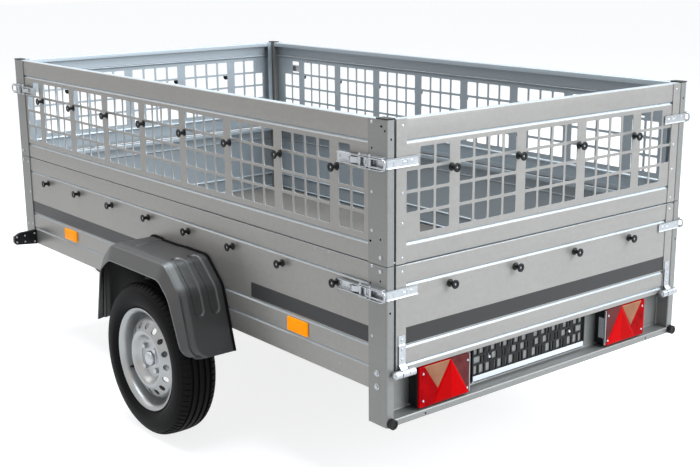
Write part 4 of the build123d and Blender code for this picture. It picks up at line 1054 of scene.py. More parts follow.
def guard():
    """Outer face of the left guard over the arch (rows) and the section (columns), and its unit normals."""
    top = rounded(GUARD_TOP, GUARD_ROUND, 9)
    mouth = rounded(GUARD_MOUTH, GUARD_ROUND, 9)
    knots = lengths(top) / lengths(top)[-1]
    t = np.unique(np.concatenate((np.linspace(0, 1, 261), knots)))
    over = resampled(top, knots, t)[:, None]
    under = resampled(mouth, knots, t)[:, None]
    across = np.concatenate((np.linspace(0, 0.86, 78), np.linspace(0.87, 1.3, 22), np.linspace(1.34, 2, 14)))
    share = np.clip(across - 1, 0, 1)[:, None]
    place = over + share * (under - over)
    out = np.interp(across, (0, 1, 2), (0, GUARD_CREASE, GUARD_LIP)) + 0 * place[..., 0]
    foot = np.clip((FOOT_TOP - place[..., 1]) / FOOT_CORNER, 0, 1) * (place[..., 0] < 0)
    limit = GUARD_LIP - FOOT_CORNER * (1 - np.sqrt(1 - foot ** 2))
    out = out * np.where(foot > 0, limit / GUARD_LIP, 1)
    points = np.stack((place[..., 0], out, place[..., 1]), axis=-1)
    run, side = np.gradient(points, axis=0), np.gradient(points, axis=1)
    normal = np.cross(run, side)
    normal /= np.linalg.norm(normal, axis=-1, keepdims=True) + 1e-12
    normal *= np.sign(np.sum(normal * (points - GUARD_INSIDE), axis=-1, keepdims=True))
    bend = np.clip(1 - abs(across - 1) / CREASE_SHARE, 0, 1)
    drop = CREASE_DROP * bend ** 2 * (3 - 2 * bend)
    drop = drop + pressed(points[..., 0], points[..., 2], points[..., 1]) * (across < 0.98)
    return points - normal * drop[..., None], normal


guard_points, guard_normals = guard()
guard_sheet = thick(grid(guard_points), (-guard_normals * GUARD_SHEET).reshape(-1, 3))
GUARD_PLACE = (WHEEL[0], WALL, WHEEL[2])
left_guard = (guard_sheet[0] + GUARD_PLACE, guard_sheet[1])
lip_line = guard_points[:, -1] + GUARD_PLACE
lip = tube(lip_line - (0, LIP_BEAD, 0), LIP_BEAD, Y, 8)
piece("mudguard_lips", both_sides(lip), "chassis", "black_plastic", material=lip_highlight_plastic)
# the flange bead at the wall is near black: the real flange, with painted shade of the gap between guard and
# wall
wall_line = guard_points[:, 0] + guard_normals[:, 0] * WALL_BEAD / 2 + GUARD_PLACE
flange = tube(wall_line + (0, WALL_BEAD, 0), WALL_BEAD, Y, 8)
piece("mudguard_flanges", both_sides(flange), "chassis", "black_plastic", material=painted_shade_black)
pair("mudguard_{}_moulded", left_guard, "chassis", "black_plastic", "mudguard_{}", material=guard_plastic)

# %% [markdown]
# ## Tarpaulin knobs
# A cord is hooked behind these mushrooms: a flat foot riveted to the wall, a waist, and a cap with a
# dimple. Each is one small turned profile. They stand where the uprights of the punched walls are, so the
# places come from the same function as the windows. The right wall is the left one's panel turned end for
# end, so its knobs stand ahead of their uprights where the left wall's stand behind.

# %% Knobs
# profile of a knob from its foot to the dimple: radius, height in millimetres
KNOB = ((0, 0), (11, 0), (12, 1), (12, 2.2), (9, 4), (6.4, 6.5), (5.8, 10), (5.8, 15), (7, 19), (11.5, 20.5),
        (13.4, 21.6), (13.5, 23), (13, 25), (11, 25.8), (8.5, 26), (6, 25.6), (4.4, 24), (3.4, 22.6),
        (0, 22.2))
KNOB_LOW = SPLIT - 0.087
KNOB_HIGH = TOP - 0.152
KNOB_SHIFT = 0.013  # from the middle of the upright
RIVET_HEAD = ((0, 24.2), (2.2, 24), (3.2, 23), (3.2, 22), (0, 22))


def knob_rows(places, heights, direction, face):
    """Knobs, and the rivets in their dimples, at every place and height along direction from the face."""
    caps, rivets = [], []
    for place in places:
        for height in heights:
            foot = (place, face, height) if direction[1] else (face, place, height)
            caps.append(turned(from_mm(KNOB), foot, direction, 20))
            rivets.append(turned(from_mm(RIVET_HEAD), foot, direction, 10))
    return together(*caps), together(*rivets)


def knob_piece(name, rows, body):
    """The knobs as one moulded piece that replaces the node of that name, and their rivets as another."""
    caps, rivets = rows
    piece(name + "_moulded", caps, body, "black_plastic", [name])
    piece(name + "_rivets", rivets, body, "bright_zinc")


def other_wall(surface):
    """The surface and the same on the right wall, where the panel is turned end for end."""
    points, quads = mirrored(surface)
    return together(surface, (points + (2 * KNOB_SHIFT, 0, 0), quads))


side_places = MIDDLE + uprights(side_limit) - KNOB_SHIFT
end_places = uprights(gate_limit) + KNOB_SHIFT
side_caps, side_rivets = knob_rows(side_places, (KNOB_LOW, KNOB_HIGH), Y, WALL)
knob_piece("side_knobs", (other_wall(side_caps), other_wall(side_rivets)), "chassis")
for name, body, height, way, face in (("tailgate_knobs", "tailgate", KNOB_LOW, -X, REAR_FACE),
                                      ("rear_mesh_knobs", "rear_mesh_gate", KNOB_HIGH, -X, REAR_FACE),
                                      ("front_mesh_knobs", "front_mesh_gate", KNOB_HIGH, X, FRONT_FACE),
                                      ("front_board_knobs", "chassis", KNOB_LOW, X, FRONT_FACE)):
    knob_piece(name, knob_rows(end_places, (height,), way, face), body)

# %% [markdown]
# ## Tail lamps
# A tail lamp is a black housing with one moulded lens. The lens is divided into facets: a red reflector
# triangle that the law asks of a trailer, an amber field beside its tip, a dark red field outside and a
# clear one inside. A facet is a triangle in two shares, u from the outer edge inwards and v upwards. The
# same test, on which side of three lines a point lies, shapes the relief of the mesh and colours the
# material, because the operators work on arrays and on shader values alike.

# %% Facets
lamp_low, lamp_high = span("lamp_lenses")
LAMP_OUT = lamp_high[1]
LAMP_SHIFT = lamp_high[1] + lamp_low[1]  # of the right lamp from the left one's mirror image
LAMP_WIDTH = 0.203
LAMP_HEIGHT = lamp_high[2] - lamp_low[2]
REFLECTOR_CORNERS = ((0.25, 0.03), (0.985, 0.03), (0.62, 0.985))
AMBER_CORNERS = ((0.10, 0.985), (0.36, 0.38), (0.60, 0.985))
LENS_FRAME = 0.028
LENS_EDGE = 0.004  # rounding of the lens' rim
LENS_CORNER = 0.007
FACET_RISE = 0.0016
FACET_STEP = 0.02  # width of the step at a facet's edge, as a share


def beyond(u, v, start, stop):
    """Positive where the point lies to the left of the line from start to stop."""
    return (stop[0] - start[0]) * (v - start[1]) - (stop[1] - start[1]) * (u - start[0])


def distances(u, v, corners):
    """The same for the three sides of a triangle whose corners run anticlockwise."""
    first, second, third = corners
    return beyond(u, v, first, second), beyond(u, v, second, third), beyond(u, v, third, first)


def inside(u, v, corners):
    """1 where the point lies in the triangle."""
    first, second, third = distances(u, v, corners)
    return (first > 0) * (second > 0) * (third > 0)


def facet_height(u, v, corners):
    """Soft step up inside the triangle, from the least of its three distances."""
    first, second, third = distances(u, v, corners)
    return np.clip(np.minimum(np.minimum(first, second), third) / FACET_STEP, 0, 1)


def lamp_material():
    """Lens colours by facet, with a painted lighter part of the reflector triangle, and the small cells of
    the optics.
    """
    paint = Paint("lamp lens")
    across = paint.axis("Y")
    u = (LAMP_OUT - (across < 0) * LAMP_SHIFT - abs(across)) / LAMP_WIDTH
    v = (paint.axis("Z") - lamp_low[2]) / LAMP_HEIGHT
    cells = paint.cells(240)
    cloud = paint.noise(22)
    outer = paint.mix(cloud, rgb(90, 0, 4), rgb(216, 0, 8))
    inner = paint.mix(cloud, rgb(84, 22, 24), rgb(124, 70, 68))
    amber = paint.mix(cloud, rgb(146, 92, 66), rgb(174, 128, 100))
    # painted light: the reflector triangle is lighter inward of its tip than outward, as the light falls on
    # it
    reflector_with_painted_shade = paint.mix(u > REFLECTOR_CORNERS[2][0], rgb(188, 0, 2), rgb(208, 0, 4))
    colour = paint.mix(beyond(u, v, *REFLECTOR_CORNERS[1:]) > 0, inner, outer)
    colour = paint.mix(inside(u, v, AMBER_CORNERS), colour, amber)
    colour = paint.mix(inside(u, v, REFLECTOR_CORNERS), colour, reflector_with_painted_shade)
    middle = paint.between(u, LENS_FRAME, 1.0) * (v > LENS_FRAME)
    colour = paint.mix(middle, rgb(196, 0, 12), colour)
    return paint.finish(Base_Color=colour, Roughness=0.16 + cells * 0.08, Specular_IOR_Level=0.03,
                        Normal=paint.bump(cells, 0.0003))


def both_lamps(surface):
    """The left lamp's surface and the right one's, which is mirrored and moved."""
    points, quads = mirrored(surface)
    return together(surface, (points + (0, LAMP_SHIFT, 0), quads))


# %% Lamps
def lens_face():
    """Lens of the left lamp: a rectangle with round corners and rim, facets raised, and a back skin."""
    u, v = np.meshgrid(np.linspace(0, 1, 91), np.linspace(0, 1, 61), indexing="ij")
    half = np.array((LAMP_WIDTH, LAMP_HEIGHT)) / 2
    place = np.stack(((u - 0.5) * LAMP_WIDTH, (v - 0.5) * LAMP_HEIGHT), axis=-1)
    over = np.maximum(abs(place) - (half - LENS_CORNER), 0)
    both = (over[..., :1] > 0) & (over[..., 1:] > 0)
    reach = over.max(axis=-1, keepdims=True) / (np.linalg.norm(over, axis=-1, keepdims=True) + 1e-12)
    place = np.where(both, np.sign(place) * (half - LENS_CORNER + over * reach), place)
    inset = np.minimum(u, 1 - u) * LAMP_WIDTH
    inset = np.minimum(inset, np.minimum(v, 1 - v) * LAMP_HEIGHT)
    turn = 1 - np.clip(inset / LENS_EDGE, 0, 1)
    sink = LENS_EDGE * (1 - np.sqrt(1 - turn ** 2))
    rise = np.maximum(facet_height(u, v, REFLECTOR_CORNERS), 0.5 * facet_height(u, v, AMBER_CORNERS))
    face = lamp_low[0] + FACET_RISE + sink - rise * FACET_RISE
    points = np.stack((face, LAMP_OUT - LAMP_WIDTH / 2 - place[..., 0],
                       (lamp_low[2] + lamp_high[2]) / 2 + place[..., 1]), axis=-1)
    back = np.zeros_like(points)
    back[..., 0] = lamp_high[0] - points[..., 0]
    return thick(grid(points), back.reshape(-1, 3))


SCREW = ((0, 0.0022), (0.0012, 0.0014), (0.0026, 0.0022), (0.0036, 0.0012), (0.0038, 0), (0, 0))
# screws of a lens, as shares from the outer edge and from below
LENS_SCREWS = ((0.075, 0.82), (0.075, 0.17), (0.95, 0.83), (0.95, 0.15))
HOUSING_INSET = 0.001  # of the housing inside the lens' outline
HOUSING_EDGE = 0.003
SEAM = 0.0005  # reach of the seam round the housing beyond the lens
RIDGES = (0.003, 0.0062)  # clear ridges on the lens' inner edge, from its face
RIDGE = 0.0018
RIDGE_END = 0.004  # from the lens' lower and upper edge
EDGE_WINDOW = (0.002, 0.024, 0.026, 0.030)  # from the housing's face: near, far; from below and from the top
LAMP_IN = LAMP_OUT - LAMP_WIDTH
body_low, body_high = span("lamp_bodies")
LENS_FACE = lamp_low[0] + FACET_RISE


def lamp_plate(inset, back, front, bevel):
    """Plate on the lens' outline, drawn in by inset."""
    return crosswise(plate(LAMP_IN + inset, lamp_low[2] + inset, LAMP_OUT - inset, lamp_high[2] - inset,
                           LENS_CORNER, back, front, bevel))


housing = lamp_plate(HOUSING_INSET, body_low[0] + 0.0005, body_high[0], HOUSING_EDGE)
seam = lamp_plate(-SEAM, body_low[0] + 0.004, body_low[0] + 0.009, 0.001)
piece("lamp_lenses_faceted", both_lamps(lens_face()), "chassis", "red_lens", ["lamp_lenses"],
      lamp_material(), angle=20)
piece("lamp_housings", both_lamps(together(housing, seam)), "chassis", "black_plastic", ["lamp_bodies"])
screws = [turned(SCREW, (LENS_FACE, LAMP_OUT - u * LAMP_WIDTH, lamp_low[2] + v * LAMP_HEIGHT), -X, 10)
          for u, v in LENS_SCREWS]
piece("lamp_screws", both_lamps(together(*screws)), "chassis", "bright_zinc")
near, far, below, above = EDGE_WINDOW
window = plate(body_low[0] + near, lamp_low[2] + below, body_low[0] + far, lamp_high[2] - above, 0.003,
               -0.0016, 0.004, 0.001)
ridges = [plate(x, lamp_low[2] + RIDGE_END, x + RIDGE, lamp_high[2] - RIDGE_END, 0.0006, -0.002, 0.002,
                0.0006) for x in lamp_low[0] + np.array(RIDGES)]
inner_edge = lengthwise(together(window, *ridges), (0, LAMP_IN, 0))
piece("lamp_windows", both_lamps(inner_edge), "chassis", "clear_lens")

# %% [markdown]
# ## Plate holder
# The holder is a thin black lattice that saves plastic: rows of openings of uneven width between slim bars,
# inside a rounded frame, with a strip along its lower edge that holds the plate. The lattice is punched
# like the walls.

# %% Plate holder
plate_low, plate_high = span("plate_holder")
PLATE_MIDDLE = (plate_low[1] + plate_high[1]) / 2
PLATE_HALF = (plate_high[1] - plate_low[1]) / 2
STRIP_HEIGHT = 0.020
# openings of one half in millimetres: lower and upper edge above the strip, then (from, to) from the middle
LATTICE = ((4, 32, ((10, 30), (36, 43), (49, 56), (74, 96), (102, 110), (126, 146), (152, 160), (178, 198),
                    (206, 226), (233, 250))),
           (38, 60, ((10, 17), (23, 44), (60, 82), (88, 96), (112, 119), (125, 132), (150, 172), (178, 186),
                     (206, 213), (219, 250))),
           (66, 85, ((16, 38), (52, 72), (78, 86), (102, 122), (128, 138), (156, 176), (183, 191), (206, 226),
                     (233, 250))))
HOLDER = 0.004
HOLDER_INSET = 0.001  # of the lattice inside the holder's outline
HOLDER_BAR = 0.003  # radius of the bar round it
HOLDER_ROUND = 0.008  # reach of that bar's rounded corners
STRIP_OUT = 0.0035  # how far the strip stands proud of the lattice
STRIP_EDGE = 0.002  # of the strip inside the holder's outline
SCREW_PLACE = (0.185, 0.042)  # from the holder's middle and below its top
SCREW_SCALE = 1.6


def lattice():
    """Sheet with the table's openings on both sides of its middle."""
    openings = []
    for low, high, spans in LATTICE:
        bottom, top = plate_low[2] + STRIP_HEIGHT + np.array((low, high)) / 1000
        for start, stop in np.array(spans) / 1000:
            openings += [(start, stop, bottom, top), (-stop, -start, bottom, top)]
    edge = np.array(((0, plate_low[2] + HOLDER_INSET), (0, plate_high[2] - HOLDER_INSET)))
    return punched(edge, HOLDER_INSET - PLATE_HALF, PLATE_HALF - HOLDER_INSET, openings, HOLDER, 0.002)


holder_line = plate_outline(HOLDER_BAR - PLATE_HALF, plate_low[2] + HOLDER_BAR, PLATE_HALF - HOLDER_BAR,
                            plate_high[2] - HOLDER_BAR, HOLDER_ROUND)
holder_frame = tube(np.insert(holder_line, 0, -0.001, axis=1), HOLDER_BAR, X, 8, closed=True)
holder = together(lengthwise(lattice()), holder_frame)
holder = stand(holder, (plate_high[0] - HOLDER, PLATE_MIDDLE, 0), X, Y, Z)
piece("plate_holder_lattice", holder, "chassis", "black_plastic", ["plate_holder"])
strip = plate(STRIP_EDGE - PLATE_HALF, plate_low[2] + HOLDER_INSET, PLATE_HALF - STRIP_EDGE,
              plate_low[2] + STRIP_HEIGHT, 0.002, 0, 0.003, 0.0008)
strip = crosswise(strip, (plate_high[0] - HOLDER - STRIP_OUT, PLATE_MIDDLE, 0))
piece("plate_strip", strip, "chassis", "black_plastic", material=white_film)
out, down = SCREW_PLACE
holder_screws = [turned(np.array(SCREW) * SCREW_SCALE, (plate_high[0] - HOLDER, PLATE_MIDDLE + side * out,
                                                        plate_high[2] - down), -X, 12) for side in (-1, 1)]
piece("plate_screws", together(*holder_screws), "chassis", "bright_zinc")

# %% [markdown]
# ## Reflectors, markers, caps and buffers
# The small plastic pieces are plates with rounded rims: a ring of points round the outline, drawn in as it
# turns over the edge. The buffers are turned.

# %% Small plastic pieces
reflector_low, reflector_high = span("side_reflectors")
REFLECTOR_LENGTH = 0.100
reflectors = [plate(x, reflector_low[2], x + REFLECTOR_LENGTH, reflector_high[2], 0.004, 0,
                    reflector_high[1] - WALL, 0.0018)
              for x in (reflector_low[0], reflector_high[0] - REFLECTOR_LENGTH)]
reflectors = lengthwise(together(*reflectors), (0, WALL, 0))
piece("side_reflectors_moulded", both_sides(reflectors), "chassis", "amber_lens", ["side_reflectors"])

marker_low, marker_high = span("front_marker_bodies")
marker_lens_low, marker_lens_high = span("front_marker_lenses")
MARKER_REACH = marker_high[1] - WALL - 0.012
MARKER_HEIGHT = marker_high[2] - marker_low[2]
MARKER_TIP = (0.010, 0.044)  # lower and upper corner of its outer end
marker_outline = rounded(((0, 0), (MARKER_REACH, MARKER_TIP[0]), (MARKER_REACH, MARKER_TIP[1]),
                          (MARKER_REACH - 0.022, MARKER_HEIGHT - 0.004), (0, MARKER_HEIGHT)),
                         (0.002, 0.012, 0.012, 0.010, 0.002), 5, closed=True)
marker = crosswise(slab(marker_outline, marker_low[0], marker_high[0], 0.003), (0, WALL, marker_low[2]))
piece("front_markers_moulded", both_sides(marker), "chassis", "black_plastic", ["front_marker_bodies"])
marker_lens = plate(WALL + 0.030, marker_lens_low[2], WALL + MARKER_REACH - 0.002, marker_lens_high[2], 0.008,
                    marker_lens_low[0] - 0.001, marker_lens_high[0], 0.004)
piece("front_marker_lenses_moulded", both_sides(crosswise(marker_lens)), "chassis", "clear_lens",
      ["front_marker_lenses"])
# screws on the back of a marker: beyond the wall, above its foot
MARKER_SCREWS = ((0.012, 0.012), (0.012, 0.048), (0.055, 0.018), (0.055, 0.044), (0.090, 0.020),
                 (0.090, 0.042))
marker_screws = [turned(SCREW, (marker_low[0], WALL + out, marker_low[2] + up), -X, 10)
                 for out, up in MARKER_SCREWS]
piece("marker_screws", both_sides(together(*marker_screws)), "chassis", "bright_zinc")

CAP_OVER = posts_low[0] - span("post_caps")[0][0]
POST_BOX = 0.045
POST_FACE = 0.029
CAP_HEIGHT = span("post_caps")[1][2] - TOP
cap = plate(REAR - CAP_OVER, SIDE - POST_FACE - CAP_OVER, REAR + POST_BOX + CAP_OVER, SIDE + CAP_OVER, 0.005,
            TOP, TOP + CAP_HEIGHT, 0.0016)
caps = both_sides(together(cap, other_end(cap)))
piece("post_caps_moulded", caps, "chassis", "black_plastic", ["post_caps"])

buffer_low, buffer_high = span("buffers")
BUFFER_R = (buffer_high[2] - buffer_low[2]) / 2
BUFFER = ((0, 0.0135), (0.009, 0.0135), (0.0105, 0.016), (0.0135, 0.016), (0.015, 0.0145), (0.0146, 0.003),
          (0.015, 0.002), (0.015, 0), (0, 0))
buffer = turned(BUFFER, (REAR, buffer_high[1] - BUFFER_R, (buffer_low[2] + buffer_high[2]) / 2), -X, 32)
piece("buffers_moulded", both_sides(buffer), "chassis", "buffer_rubber", ["buffers"])

# %% [markdown]
# ## Over-centre latches
# A latch pulls a gate tight against its corner posts: a lever folded from sheet, hinged in a base on the
# post, and a hook that it draws over dead centre. The levers and bases are U sections carried straight, the
# hook is a bent round bar. The latch is made once, in its own directions: a away from the corner, b up and
# c out of the post.

# %% Latches
LATCH_HEIGHTS = (SPLIT - 0.080, TOP - 0.117)
LEVER_END = 0.201  # of the lever, from the corner
LEVER_START = 0.060
LEVER_HALF = 0.0145
LEVER_FLOOR = 0.006
NOSE = (0.018, 0.011)  # length and drop of the lever's low nose
LATCH_OUT = 0.022
BASE_SPAN = (0.004, 0.098)
BASE_HALF = 0.0182
LATCH_SHEET = 0.0018
PINS = (0.055, 0.097)
LATCH_RIVETS = (0.149, 0.190)
CLAW = ((0.104, 0.009), (0.113, 0.018), (0.127, 0.019), (0.141, 0.009))
CLAW_HALF = 0.008
CLAW_SHEET = 0.002
HOOK_BOX = (-0.0068, -0.0118, 0.072, 0.0118)
HOOK_OUT = 0.0145
HOOK_BAR = 0.0028
PIN_OUT = 0.0125
PIN = ((0, -0.0205), (0.0034, -0.0205), (0.0044, -0.0192), (0.0044, 0.0192), (0.0034, 0.0205), (0, 0.0205))
RIVET = ((0, 0.0024), (0.002, 0.0022), (0.0036, 0.0013), (0.0042, 0), (0, 0))


def channel(half, floor, top, run, thickness):
    """U section open outwards: wall, floor and wall, as (b, c) carried along a."""
    line = rounded(((-half, top), (-half, floor), (half, floor), (half, top)), 0.003, 5)
    return crosswise(bent(line, run, -thickness))


def latch():
    """Base, lever with a low nose, claw, two pins, the hook and its rivets."""
    length, drop = NOSE
    base = channel(BASE_HALF, 0, LATCH_OUT - 0.002, np.linspace(*BASE_SPAN, 4), LATCH_SHEET)
    nose = np.linspace(LEVER_END - length, LEVER_END, 6)
    run = np.concatenate(((LEVER_START,), nose))
    lever, quads = channel(LEVER_HALF, LEVER_FLOOR, LATCH_OUT, run, LATCH_SHEET)
    low = LATCH_OUT - drop * np.clip((lever[:, 0] - nose[0]) / length, 0, 1) ** 2
    lever[:, 2] = np.minimum(lever[:, 2], low)
    claw = lengthwise(bent(rounded(CLAW, 0.004, 4), np.linspace(-CLAW_HALF, CLAW_HALF, 3), -CLAW_SHEET))
    hook_path = np.insert(plate_outline(*HOOK_BOX, 0.008, 6), 2, HOOK_OUT, axis=1)
    hook = tube(hook_path, HOOK_BAR, Z, 10, closed=True)
    pins = [turned(PIN, (a, 0, PIN_OUT), Y, 14) for a in PINS]
    rivets = [turned(RIVET, (a, 0, LEVER_FLOOR + LATCH_SHEET), Z, 10) for a in LATCH_RIVETS]
    return together(base, (lever, quads), claw, hook, *pins, *rivets)


latches = [lengthwise(latch(), (REAR, SIDE, height)) for height in LATCH_HEIGHTS]
latches.append(other_end(latches[1]))
piece("latches_folded", both_sides(together(*latches)), "chassis", "bright_zinc", ["latches"])

# %% [markdown]
# ## Latch straps
# The strap of a gate runs past the post and turns round its corner, where the hook takes it. Its long edges
# are turned out, and slots are embossed in it. So it is a band along a bent path, moved along its own
# normal by a height made of a soft step at the edges and a rounded bump for each slot.

# %% Straps
STRAP_HALF = 0.014
STRAP_OUT = 0.005  # outer face of a strap beyond the post
STRAP_START = 0.009  # hooked end, ahead of the posts' rear face
STRAP_END = 0.111  # reach from its corner along the gate
STRAP_BEND = 0.006  # reach of the bend round the corner
STRAP_SHEET = 0.002
STRAP_EDGE = 0.0026  # height of the turned-out edges
EDGE_START = 0.0105  # where they rise, from the strap's middle, and over what width
EDGE_WIDTH = 0.0025
BUMP_RISE = 0.0014
BUMP_FOOT = 1.6  # squared distance, in half lengths, at which a bump ends
# bumps: distance along the strap from its hooked end, height in it, half length and half height
BUMPS = ((0.034, 0, 0.0018, 0.007), (0.066, 0.001, 0.0016, 0.006), (0.075, 0, 0.005, 0.0016),
         (0.084, 0.001, 0.0016, 0.006), (0.100, 0, 0.004, 0.004))


def strap(height):
    """Band round the left rear corner: a path in plan, moved along its normal by the edges and bumps."""
    side, rear = SIDE + STRAP_OUT - STRAP_EDGE, REAR - STRAP_OUT + STRAP_EDGE
    path = rounded(((REAR + STRAP_START, side), (rear, side), (rear, SIDE - STRAP_END)), STRAP_BEND, 8)
    way = lengths(path)
    along = np.unique(np.concatenate((way, np.linspace(0, way[-1], 110))))
    path = resampled(path, way, along)
    up = np.linspace(-STRAP_HALF, STRAP_HALF, 33)
    s, b = np.meshgrid(along, up, indexing="ij")
    edge = np.clip((abs(b) - EDGE_START) / EDGE_WIDTH, 0, 1)
    rise = STRAP_EDGE * edge * edge * (3 - 2 * edge)
    for place, level, half_length, half_height in BUMPS:
        away = ((s - place) / half_length) ** 2 + ((b - level) / half_height) ** 2
        rise = rise + BUMP_RISE * np.clip(BUMP_FOOT - away, 0, 1)
    out = normals(path)[:, None]
    plan = path[:, None] + out * rise[..., None]
    points = np.concatenate((plan, height + b[..., None]), axis=-1)
    back = np.concatenate((-out * STRAP_SHEET + 0 * plan, 0 * b[..., None]), axis=-1)
    return thick(grid(points), back.reshape(-1, 3))


low_strap, high_strap = (both_sides(strap(height)) for height in LATCH_HEIGHTS)
piece("tailgate_straps", low_strap, "tailgate", "bright_zinc", ["tailgate_catches"])
piece("rear_mesh_straps", high_strap, "rear_mesh_gate", "bright_zinc", ["rear_mesh_catches"])
piece("front_mesh_straps", other_end(high_strap), "front_mesh_gate", "bright_zinc", ["front_mesh_catches"])

# %% [markdown]
# ## Tailgate hinges
# The hinge is a barrel behind each corner. The gate's leaf is one plate: riveted flat to the gate, stepped
# outwards over a seam, and rolled over the middle of the barrel. The two other knuckles stand on arms from
# the beam.

# %% Hinges
HINGE_X = REAR - 0.013
HINGE_Y = 0.606
HINGE_Z = 0.460
HINGE_R = 0.012
KNUCKLE = 0.024
LEAF_TOP = span("tailgate_hinge_leaves")[1][2]
LEAF_SHEET = 0.002
KNUCKLE_SIDE = ((0, -0.012), (0.0104, -0.012), (0.012, -0.0105), (0.012, 0.0105), (0.0104, 0.012), (0, 0.012))
MIDDLE_KNUCKLE = ((0, -0.012), (0.0098, -0.012), (0.0098, 0.012), (0, 0.012))
PIN_HEAD = ((0, 0.0034), (0.004, 0.0031), (0.0072, 0.0016), (0.008, 0), (0, 0))
LEAF_RIVETS = (0.5553, 0.5277, 0.4981)
LEAF_FLAT = REAR - 0.002  # the leaf against the gate, and stepped outwards over the seam
LEAF_OUT = REAR - 0.0042
STEP_TOP = 0.543
STEP_FOOT = 0.539
LEAF_BEND = 0.484  # where the leaf leaves its plane for the barrel
roll = np.radians(np.linspace(8, 215, 24))
rolled = np.column_stack((HINGE_X - HINGE_R * np.sin(roll), HINGE_Z + HINGE_R * np.cos(roll)))
leaf_line = rounded(((LEAF_FLAT, LEAF_TOP), (LEAF_FLAT, STEP_TOP), (LEAF_OUT, STEP_FOOT),
                     (LEAF_OUT, LEAF_BEND), tuple(rolled[0])), 0.003, 5)
leaf_line = np.concatenate((leaf_line[:-1], rolled))
leaf = lengthwise(bent(leaf_line, HINGE_Y + np.linspace(-KNUCKLE / 2, KNUCKLE / 2, 3), -LEAF_SHEET))
barrel = (HINGE_X, HINGE_Y, HINGE_Z)
leaf_rivets = [turned(RIVET, (LEAF_FLAT if z > STEP_TOP else LEAF_OUT, HINGE_Y, z), -X, 12)
               for z in LEAF_RIVETS]
leaf = together(leaf, turned(MIDDLE_KNUCKLE, barrel, Y, 28), *leaf_rivets)
piece("tailgate_hinge_leaves_rolled", both_sides(leaf), "tailgate", "bright_zinc", ["tailgate_hinge_leaves"])

seat_low, seat_high = span("hinge_seats")
ARM = 0.005
KNUCKLE_GAP = 0.0015
KNUCKLE_STEP = KNUCKLE + KNUCKLE_GAP
HEAD_STEP = 1.5 * KNUCKLE + KNUCKLE_GAP
seat_parts = [turned(PIN_HEAD, (HINGE_X, HINGE_Y + side * HEAD_STEP, HINGE_Z), side * Y, 20)
              for side in (-1, 1)]
for side in (-1, 1):
    y = HINGE_Y + side * KNUCKLE_STEP
    outer = min(y + KNUCKLE / 2, SIDE - POST_FACE)
    seat_parts.append(turned(KNUCKLE_SIDE, (HINGE_X, y, HINGE_Z), Y, 28))
    seat_parts.append(plate(HINGE_X, y - KNUCKLE / 2, seat_high[0], outer, 0.003, seat_low[2],
                            seat_low[2] + ARM, 0.0008))
piece("hinge_seats_turned", both_sides(together(*seat_parts)), "chassis", "bright_zinc", ["hinge_seats"])

# %% [markdown]
# ## Rivets, bolts and punched marks
# The sheet is riveted to the posts and the frame is bolted. A rivet's head is a low dome, a bolt's a
# hexagon on a washer. All heads of one kind share a profile, so a table of places is enough. A hole in the
# sheet is not cut: it is a flat black disc or slot of painted shade that stands a hair proud of the sheet.

# %% Rivets
HEAD = ((0, 0.0024), (0.0020, 0.0022), (0.0036, 0.0014), (0.0046, 0), (0, 0))
SMALL_HEAD = ((0, 0.0010), (0.0012, 0.0009), (0.0021, 0.0004), (0.0024, 0), (0, 0))
# distances from the rear face of the posts, and heights
POST_RIVETS = ((0.063, 1.1645), (0.063, 0.974), (0.063, 0.8655), (0.063, 0.765), (0.063, 0.563),
               (2.290, 0.753), (2.290, 0.624), (2.290, 0.485), (2.3307, 0.4814))
WALL_RIVETS = ((0.3247, 0.7635), (0.2604, 0.764), (0.213, 0.4395), (1.8818, 0.453))
STRIP_RIVETS = (1.1546, 0.9707, 0.887, 0.790)
GATE_RIVET = 0.7505  # height of the tailgate's rivets
STRIP_MIDDLE = 0.604
STRIP_FACE = span("rear_mesh_strips")[0][0]


def beside(places, profile, face, segments=12):
    """The profile at each place on the left side, pointing out of that face."""
    return together(*[turned(profile, (REAR + along, face, height), Y, segments) for along, height in places])


side_rivets = together(beside(POST_RIVETS, HEAD, SIDE), beside(WALL_RIVETS, SMALL_HEAD, WALL))
piece("side_rivets", both_sides(side_rivets), "chassis", "bright_zinc")
mesh_rivets = together(*[turned(HEAD, (STRIP_FACE, STRIP_MIDDLE, height), -X) for height in STRIP_RIVETS])
piece("rear_mesh_rivets", both_sides(mesh_rivets), "rear_mesh_gate", "bright_zinc")
piece("front_mesh_rivets", other_end(both_sides(mesh_rivets)), "front_mesh_gate", "bright_zinc")
gate_rivet = turned(HEAD, (REAR, STRIP_MIDDLE, GATE_RIVET), -X)
piece("tailgate_rivets", both_sides(gate_rivet), "tailgate", "bright_zinc")

# %% Bolts
BOLT = ((0, 0.0052), (0.0052, 0.0052), (0.0066, 0.0040), (0.0066, 0), (0, 0))
BOLT_FOOT = 0.001  # of a bolt's head over the face under its washer
WASHER = ((0, 0.0012), (0.0092, 0.0012), (0.0098, 0.0008), (0.0098, 0), (0, 0))
PLATE_BOLTS = ((0.0255, 0.7956), (0.0255, 0.7567), (2.332, 0.795), (2.332, 0.756))
RAIL_BOLTS = ((0.041, 0.458), (0.041, 0.418))
PLATE_FACE = span("post_joint_plates")[1][1]
bolts = [beside(PLATE_BOLTS, WASHER, PLATE_FACE, 20), beside(PLATE_BOLTS, BOLT, PLATE_FACE + BOLT_FOOT, 6),
         beside(RAIL_BOLTS, WASHER, SIDE, 20), beside(RAIL_BOLTS, BOLT, SIDE + BOLT_FOOT, 6)]
piece("post_bolts", both_sides(together(*bolts)), "chassis", "bright_zinc")

